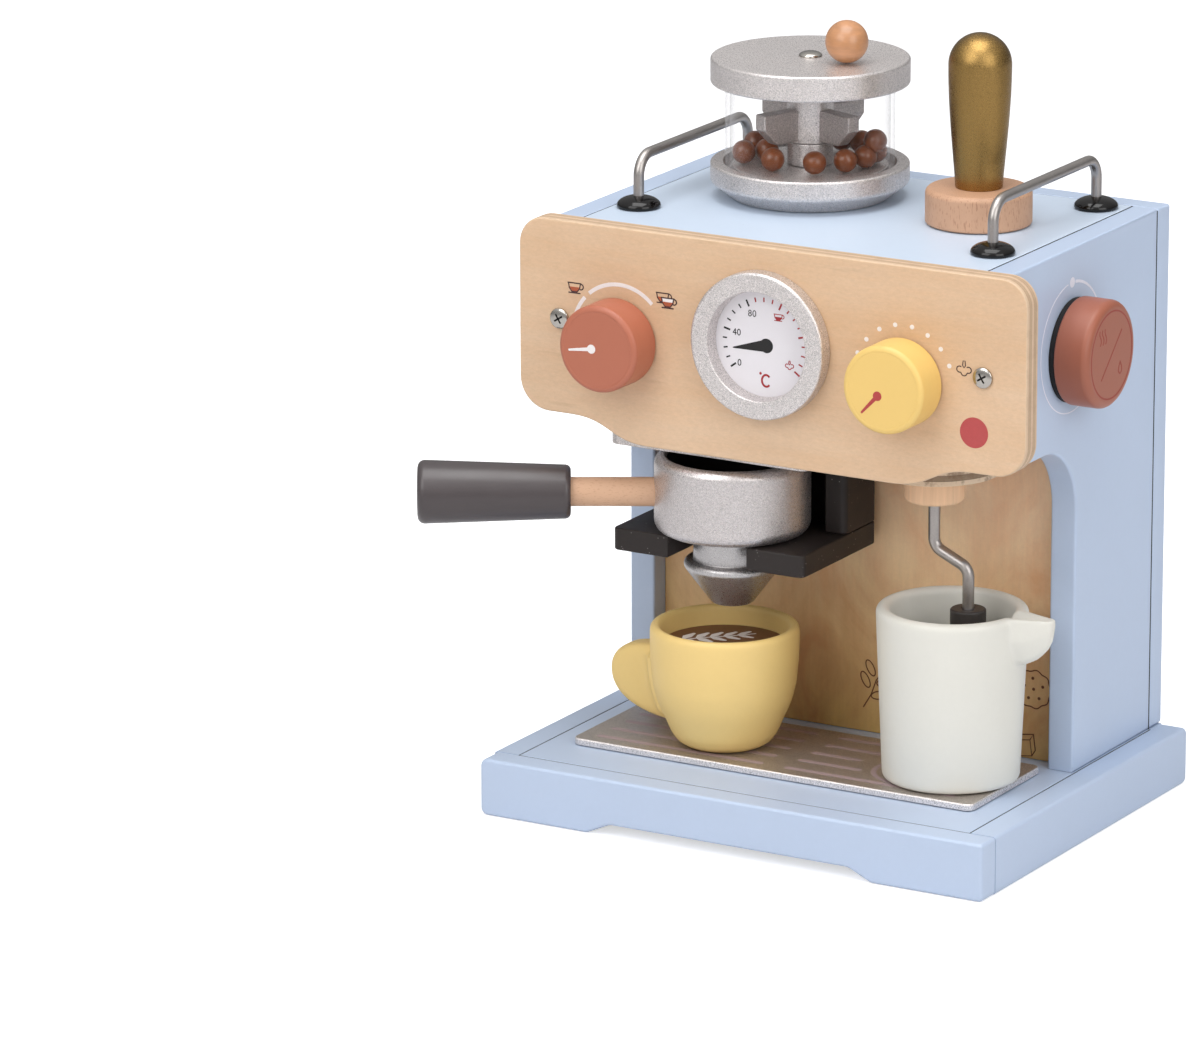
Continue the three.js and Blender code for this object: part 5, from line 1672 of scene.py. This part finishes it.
def cup_forms(rim, tall):
    """The turned cup with its recess, its ear, and slabs that soften the ear's root."""
    wall, recess = 4.6, 15
    lip, inner = wall / 2, rim - wall
    shares = [(0.64, 0.04), (0.72, 0.11), (0.80, 0.225), (0.87, 0.32)]
    shares += [(0.91, 0.385), (0.96, 0.51), (0.99, 0.70), (1.0, 0.86)]
    profile = [(0, 0), (rim * 0.53, 0)] + [(rim * wide, tall * high) for wide, high in shares]
    profile = [Vector(point) for point in profile] + arc(rim - lip, tall - lip, lip, 0, 180, 14)
    profile += [Vector((inner, tall - recess)), Vector((0, tall - recess))]
    reach, low, turn, high, inside, thick = -53.4, 6.6, 26.5, 39.6, -15, 13
    ear = [(inside, low), *bezier((-17, low), (-34, low), (reach, 11.8), (reach, turn), 16)]
    ear += bezier((reach, turn), (reach, 34), (-47.5, 38.5), (-38.5, high - 0.4), 12)
    ear = [Vector(point) for point in ear + [(-28.2, high), (-28.2, 35), (inside, 35)]]

    def slab(outline, thick_of, edge):
        form = lofted(outline[::-1], rounded_levels(thick_of, edge))
        return moved(form, at(0, thick_of / 2, 0) @ facing((0, 0, 0), *FRONT))

    forms = [lathed(profile, 128), slab(ear, thick, 3.2)]
    foot, head, hollow = 11.5, 36.5, 8
    wall_line = [(25.2, foot), (27.7, 17), (28.9, 20.4), (30.5, 27), (31.3, 34), (31.5, head)]
    for over in (7, 5.5, 4.2, 3, 2, 1.1, 0.4):
        wider = 2 * (hollow - math.sqrt(hollow**2 - (hollow - over) ** 2))
        root = [(inside, foot)] + [(-wide - over, rise) for wide, rise in wall_line]
        forms.append(slab([Vector(point) for point in root + [(inside, head)]], thick + wider, 0.8))
    return forms


def leaf_pattern():
    """A poured leaf of pale foam: pairs of leaflets on a stem."""
    forms = [stroke([(-17, -4), (-6, -1), (6, 0), (18, 2.5)], 0.8)]
    for index in range(5):
        x, reach, broad = -13.5 + 6 * index, 7.2 - 0.7 * index, 4.2 - 0.35 * index
        stem = 0.12 * x
        for side in (1, -1):
            bend, tip = side * reach * 0.45 + stem, side * reach + stem
            path = [(x, stem), (x + 2.2, bend), (x + 5.5, tip)]
            forms.append(stroke(path, [1.0, broad, 1.6], tips=3))
    return forms


class COFFEE_MAKER_OT_cup(bpy.types.Operator):
    """Builds the yellow cup with its ear, the coffee and the foam leaf"""

    bl_idname = "coffee_maker.cup"
    bl_label = "Cup"

    def execute(self, context):
        low, high = span("cup")
        rim = 31.8
        spot = Vector((high.x - rim, centre("cup").y, low.z))
        form = moulded(gathered(cup_forms(rim, high.z - low.z)), 18)
        form = moved(form, Matrix.Translation(spot))
        # The cup's paler yellow is partly painted bounce light.
        piece("coffee_cup", ["cup_yellow"], [form], ["cup"], "cup", 70)
        low, high = span("coffee_disc")
        radius, aside, back, lean = 26.9, -8, 5, 36
        disc = stood(puck(radius, high.z - low.z, 0.3, 0.6, 96), "coffee_disc", spot)
        piece("coffee_layer", ["coffee"], [disc], ["coffee_disc"], "cup")
        place = facing((spot.x + aside, spot.y + back, high.z), *TOP)
        place = place @ Matrix.Rotation(math.radians(lean), 4, "Z")
        print_on("foam_leaf", "white_ink", place, leaf_pattern(), body="cup")
        return {"FINISHED"}


def mirrored(points):
    """Points of (y, z) down one side, and the same ones up the other."""
    return points + [(-y, z) for y, z in points[-2::-1]]


def beak_form(rim, tall):
    """The jug's beak, wide and deep at the wall, its under side curving up to the tip."""
    wall, reach, deep, wide, tip, stations = 6, 48, 22, 18.5, 2.7, 14
    root = rim - wall + 1.5
    rings = []
    for step in range(stations + 1):
        share = step / stations
        x = root + (reach - root) * share
        half = tip + (wide / 2 - tip) * (1 - share) ** 1.25
        half *= math.sqrt(max(0.02, 1 - max(0.0, (share - 0.9) / 0.1) ** 2))
        under = tall - deep + (deep - 3.2) * (1 - math.sqrt(max(0.0, 1 - share**2)))
        drop = tall - under
        shares = (1, 0), (0.98, 0.45), (0.5, 0.88)
        side = [(-half * across, tall - drop * down) for across, down in shares]
        rings.append([(x, y, z) for y, z in mirrored(side + [(0, under)])])
    return outward(skinned(rings))


def channel(start, end, top):
    """The V groove in the beak's top, shallower towards the tip."""
    rings = []
    for x, half, deep in ((start, 7.6, 6.2), (end, 1.7, 0.6)):
        rings.append([(x, -half, top + 0.8), (x, 0, top - deep), (x, half, top + 0.8)])
    return outward(skinned(rings))


def outward(form):
    bmesh.ops.recalc_face_normals(form, faces=form.faces)
    return form


class COFFEE_MAKER_OT_jug(bpy.types.Operator):
    """Builds the cream milk jug with its beak"""

    bl_idname = "coffee_maker.jug"
    bl_label = "Jug"

    def execute(self, context):
        low, high = span("jug")
        tall, rim, foot, wall = high.z - low.z, 32.1, 28.9, 6
        spot = Vector((low.x + rim, centre("jug").y, low.z))
        corners = [(0, 0, 0), (foot, 0, 2), (rim, tall, 2.8), (rim - wall, tall, 2.8)]
        corners += [(foot - wall, wall, 2), (0, wall, 0)]
        body = lathed(filleted(corners, False, 8), 128)
        form = moulded(gathered([body, beak_form(rim, tall)]), 1)
        form = moulded(carved(form, channel(rim - wall - 3, 44.5, tall)), 2)
        form = moved(form, Matrix.Translation(spot))
        piece("milk_jug", ["cream"], [form], ["jug"], "jug", 70)
        return {"FINISHED"}


# ---------------------------------------------------------------- stage


def camera_axes(azimuth, elevation, roll):
    turn, rise, lean = (math.radians(angle) for angle in (azimuth, elevation, roll))
    level = math.cos(rise)
    back = Vector((math.sin(turn) * level, -math.cos(turn) * level, math.sin(rise)))
    right = Vector((math.cos(turn), math.sin(turn), 0))
    up = back.cross(right)
    cos, sin = math.cos(lean), math.sin(lean)
    return cos * right + sin * up, cos * up - sin * right, back


def placed(name, data, aim, distance, *angles):
    """A camera or lamp that looks at a point from a distance in metres."""
    made = bpy.data.objects.new(name, data)
    axes = camera_axes(*angles)
    turn = Matrix(axes).transposed().to_4x4()
    made.matrix_world = Matrix.Translation(Vector(aim) + axes[2] * distance) @ turn
    bpy.context.scene.collection.objects.link(made)
    return made


def seen_directly(nodes):
    """1 for rays from the camera, straight or through glass."""
    straight = nodes.node("LightPath", output="Is Camera Ray")
    return straight.most(nodes.node("LightPath", output="Is Transmission Ray"))


class COFFEE_MAKER_OT_stage(bpy.types.Operator):
    """Sets the camera, the soft lights and the pale floor"""

    bl_idname = "coffee_maker.stage"
    bl_label = "Stage"

    def execute(self, context):
        scene = context.scene
        scene.view_settings.view_transform = "Standard"
        lens = bpy.data.cameras.new("Camera")
        lens.sensor_fit, lens.sensor_width = "HORIZONTAL", 36
        lens.lens = 235.834
        lens.clip_start, lens.clip_end = 0.1, 100
        aim, distance = (-0.101003, 0.005134, 0.103873), 3.3874411
        azimuth, elevation, roll = 30.3173, 15.7148, -0.1508
        scene.camera = placed("Camera", lens, aim, distance, azimuth, elevation, roll)
        self.floor(scene)
        self.sky(scene)
        # Azimuth and elevation in degrees, then distance, width and power.
        lamps = {"Key": (-10, 36, 1.7, 1.1, 9.9), "Fill": (66, 24, 1.9, 1.2, 11.2)}
        lamps["Overhead"] = (15, 82, 1.8, 1.3, 22)
        for name, (azimuth, elevation, distance, width, power) in lamps.items():
            light = bpy.data.lights.new(name, "AREA")
            light.shape, light.size, light.energy = "SQUARE", width, power
            placed(name, light, (0, 0, 0.15), distance, azimuth, elevation, 0)
        return {"FINISHED"}

    def floor(self, scene):
        coat = Finish("Stage_floor", Roughness=0.9, Base_Color=srgb(228, 228, 230))
        lift = coat.mix(seen_directly(coat), (0.0, 0.0, 0.0), (0.6, 0.6, 0.6))
        coat.set("Emission Color", lift)
        coat.set("Emission Strength", 1.0)
        reach, below = 14, -0.0002
        corners = [(-reach, -reach), (reach, -reach), (reach, reach), (-reach, reach)]
        mesh = bpy.data.meshes.new("Floor")
        mesh.from_pydata([(x, y, below) for x, y in corners], [], [(0, 1, 2, 3)])
        mesh.materials.append(coat.material)
        floor = bpy.data.objects.new("Floor", mesh)
        scene.collection.objects.link(floor)

    def sky(self, scene):
        """White to the eye; in reflections brighter upward and to the front."""
        world = bpy.data.worlds.new("Studio")
        world.use_nodes = True
        scene.world = world
        world.node_tree.nodes.clear()
        nodes = Nodes(world.node_tree)

        def sky(strength):
            return nodes.node("Background", None, {0: (1.0, 1.0, 1.0), 1: strength})

        def blend(factor, first, second):
            return nodes.node("MixShader", None, {0: factor, 1: first, 2: second})

        turn = math.radians(10)
        ahead = (math.sin(turn), -math.cos(turn), 0.0)
        direction = nodes.node("TexCoord", output="Generated")
        climb = nodes.between(nodes.part(direction, 2), 0.0, 0.95)
        dot = {"operation": "DOT_PRODUCT"}
        toward = nodes.node("VectorMath", dot, {0: direction, 1: ahead}, "Value")
        frontal = nodes.between(toward, -0.6, 0.9)
        low, top = blend(frontal, sky(0.14), sky(0.42)), blend(frontal, sky(0.75), sky(1.35))
        glossy = nodes.node("LightPath", output="Is Glossy Ray")
        lit = blend(glossy, sky(0.44), blend(climb, low, top))
        nodes.node("OutputWorld", None, {0: blend(seen_directly(nodes), lit, sky(1.0))})


# ---------------------------------------------------------------- add-on

OPERATORS = (
    COFFEE_MAKER_OT_stage,
    COFFEE_MAKER_OT_base,
    COFFEE_MAKER_OT_tray,
    COFFEE_MAKER_OT_body,
    COFFEE_MAKER_OT_front,
    COFFEE_MAKER_OT_gauge,
    COFFEE_MAKER_OT_knobs,
    COFFEE_MAKER_OT_side_knob,
    COFFEE_MAKER_OT_group,
    COFFEE_MAKER_OT_portafilter,
    COFFEE_MAKER_OT_wand,
    COFFEE_MAKER_OT_rails,
    COFFEE_MAKER_OT_grinder,
    COFFEE_MAKER_OT_tamper,
    COFFEE_MAKER_OT_cup,
    COFFEE_MAKER_OT_jug,
)


class COFFEE_MAKER_PT_pieces(bpy.types.Panel):
    """Lists the pieces that can be built"""

    bl_label = "Coffee Maker"
    bl_space_type = "VIEW_3D"
    bl_region_type = "UI"
    bl_category = "Coffee Maker"

    def draw(self, context):
        for operator in OPERATORS:
            self.layout.operator(operator.bl_idname)


CLASSES = (CoffeeMakerPaints, CoffeeMakerSizes, *OPERATORS, COFFEE_MAKER_PT_pieces)


def register():
    for kind in CLASSES:
        bpy.utils.register_class(kind)
    bpy.types.Scene.coffee_maker_paints = bpy.props.PointerProperty(type=CoffeeMakerPaints)
    bpy.types.Scene.coffee_maker_sizes = bpy.props.PointerProperty(type=CoffeeMakerSizes)


def unregister():
    del bpy.types.Scene.coffee_maker_sizes
    del bpy.types.Scene.coffee_maker_paints
    for kind in reversed(CLASSES):
        bpy.utils.unregister_class(kind)


def main():
    register()
    for operator in OPERATORS:
        name = operator.bl_idname.split(".")[1]
        getattr(bpy.ops.coffee_maker, name)()


if __name__ == "__main__":
    main()
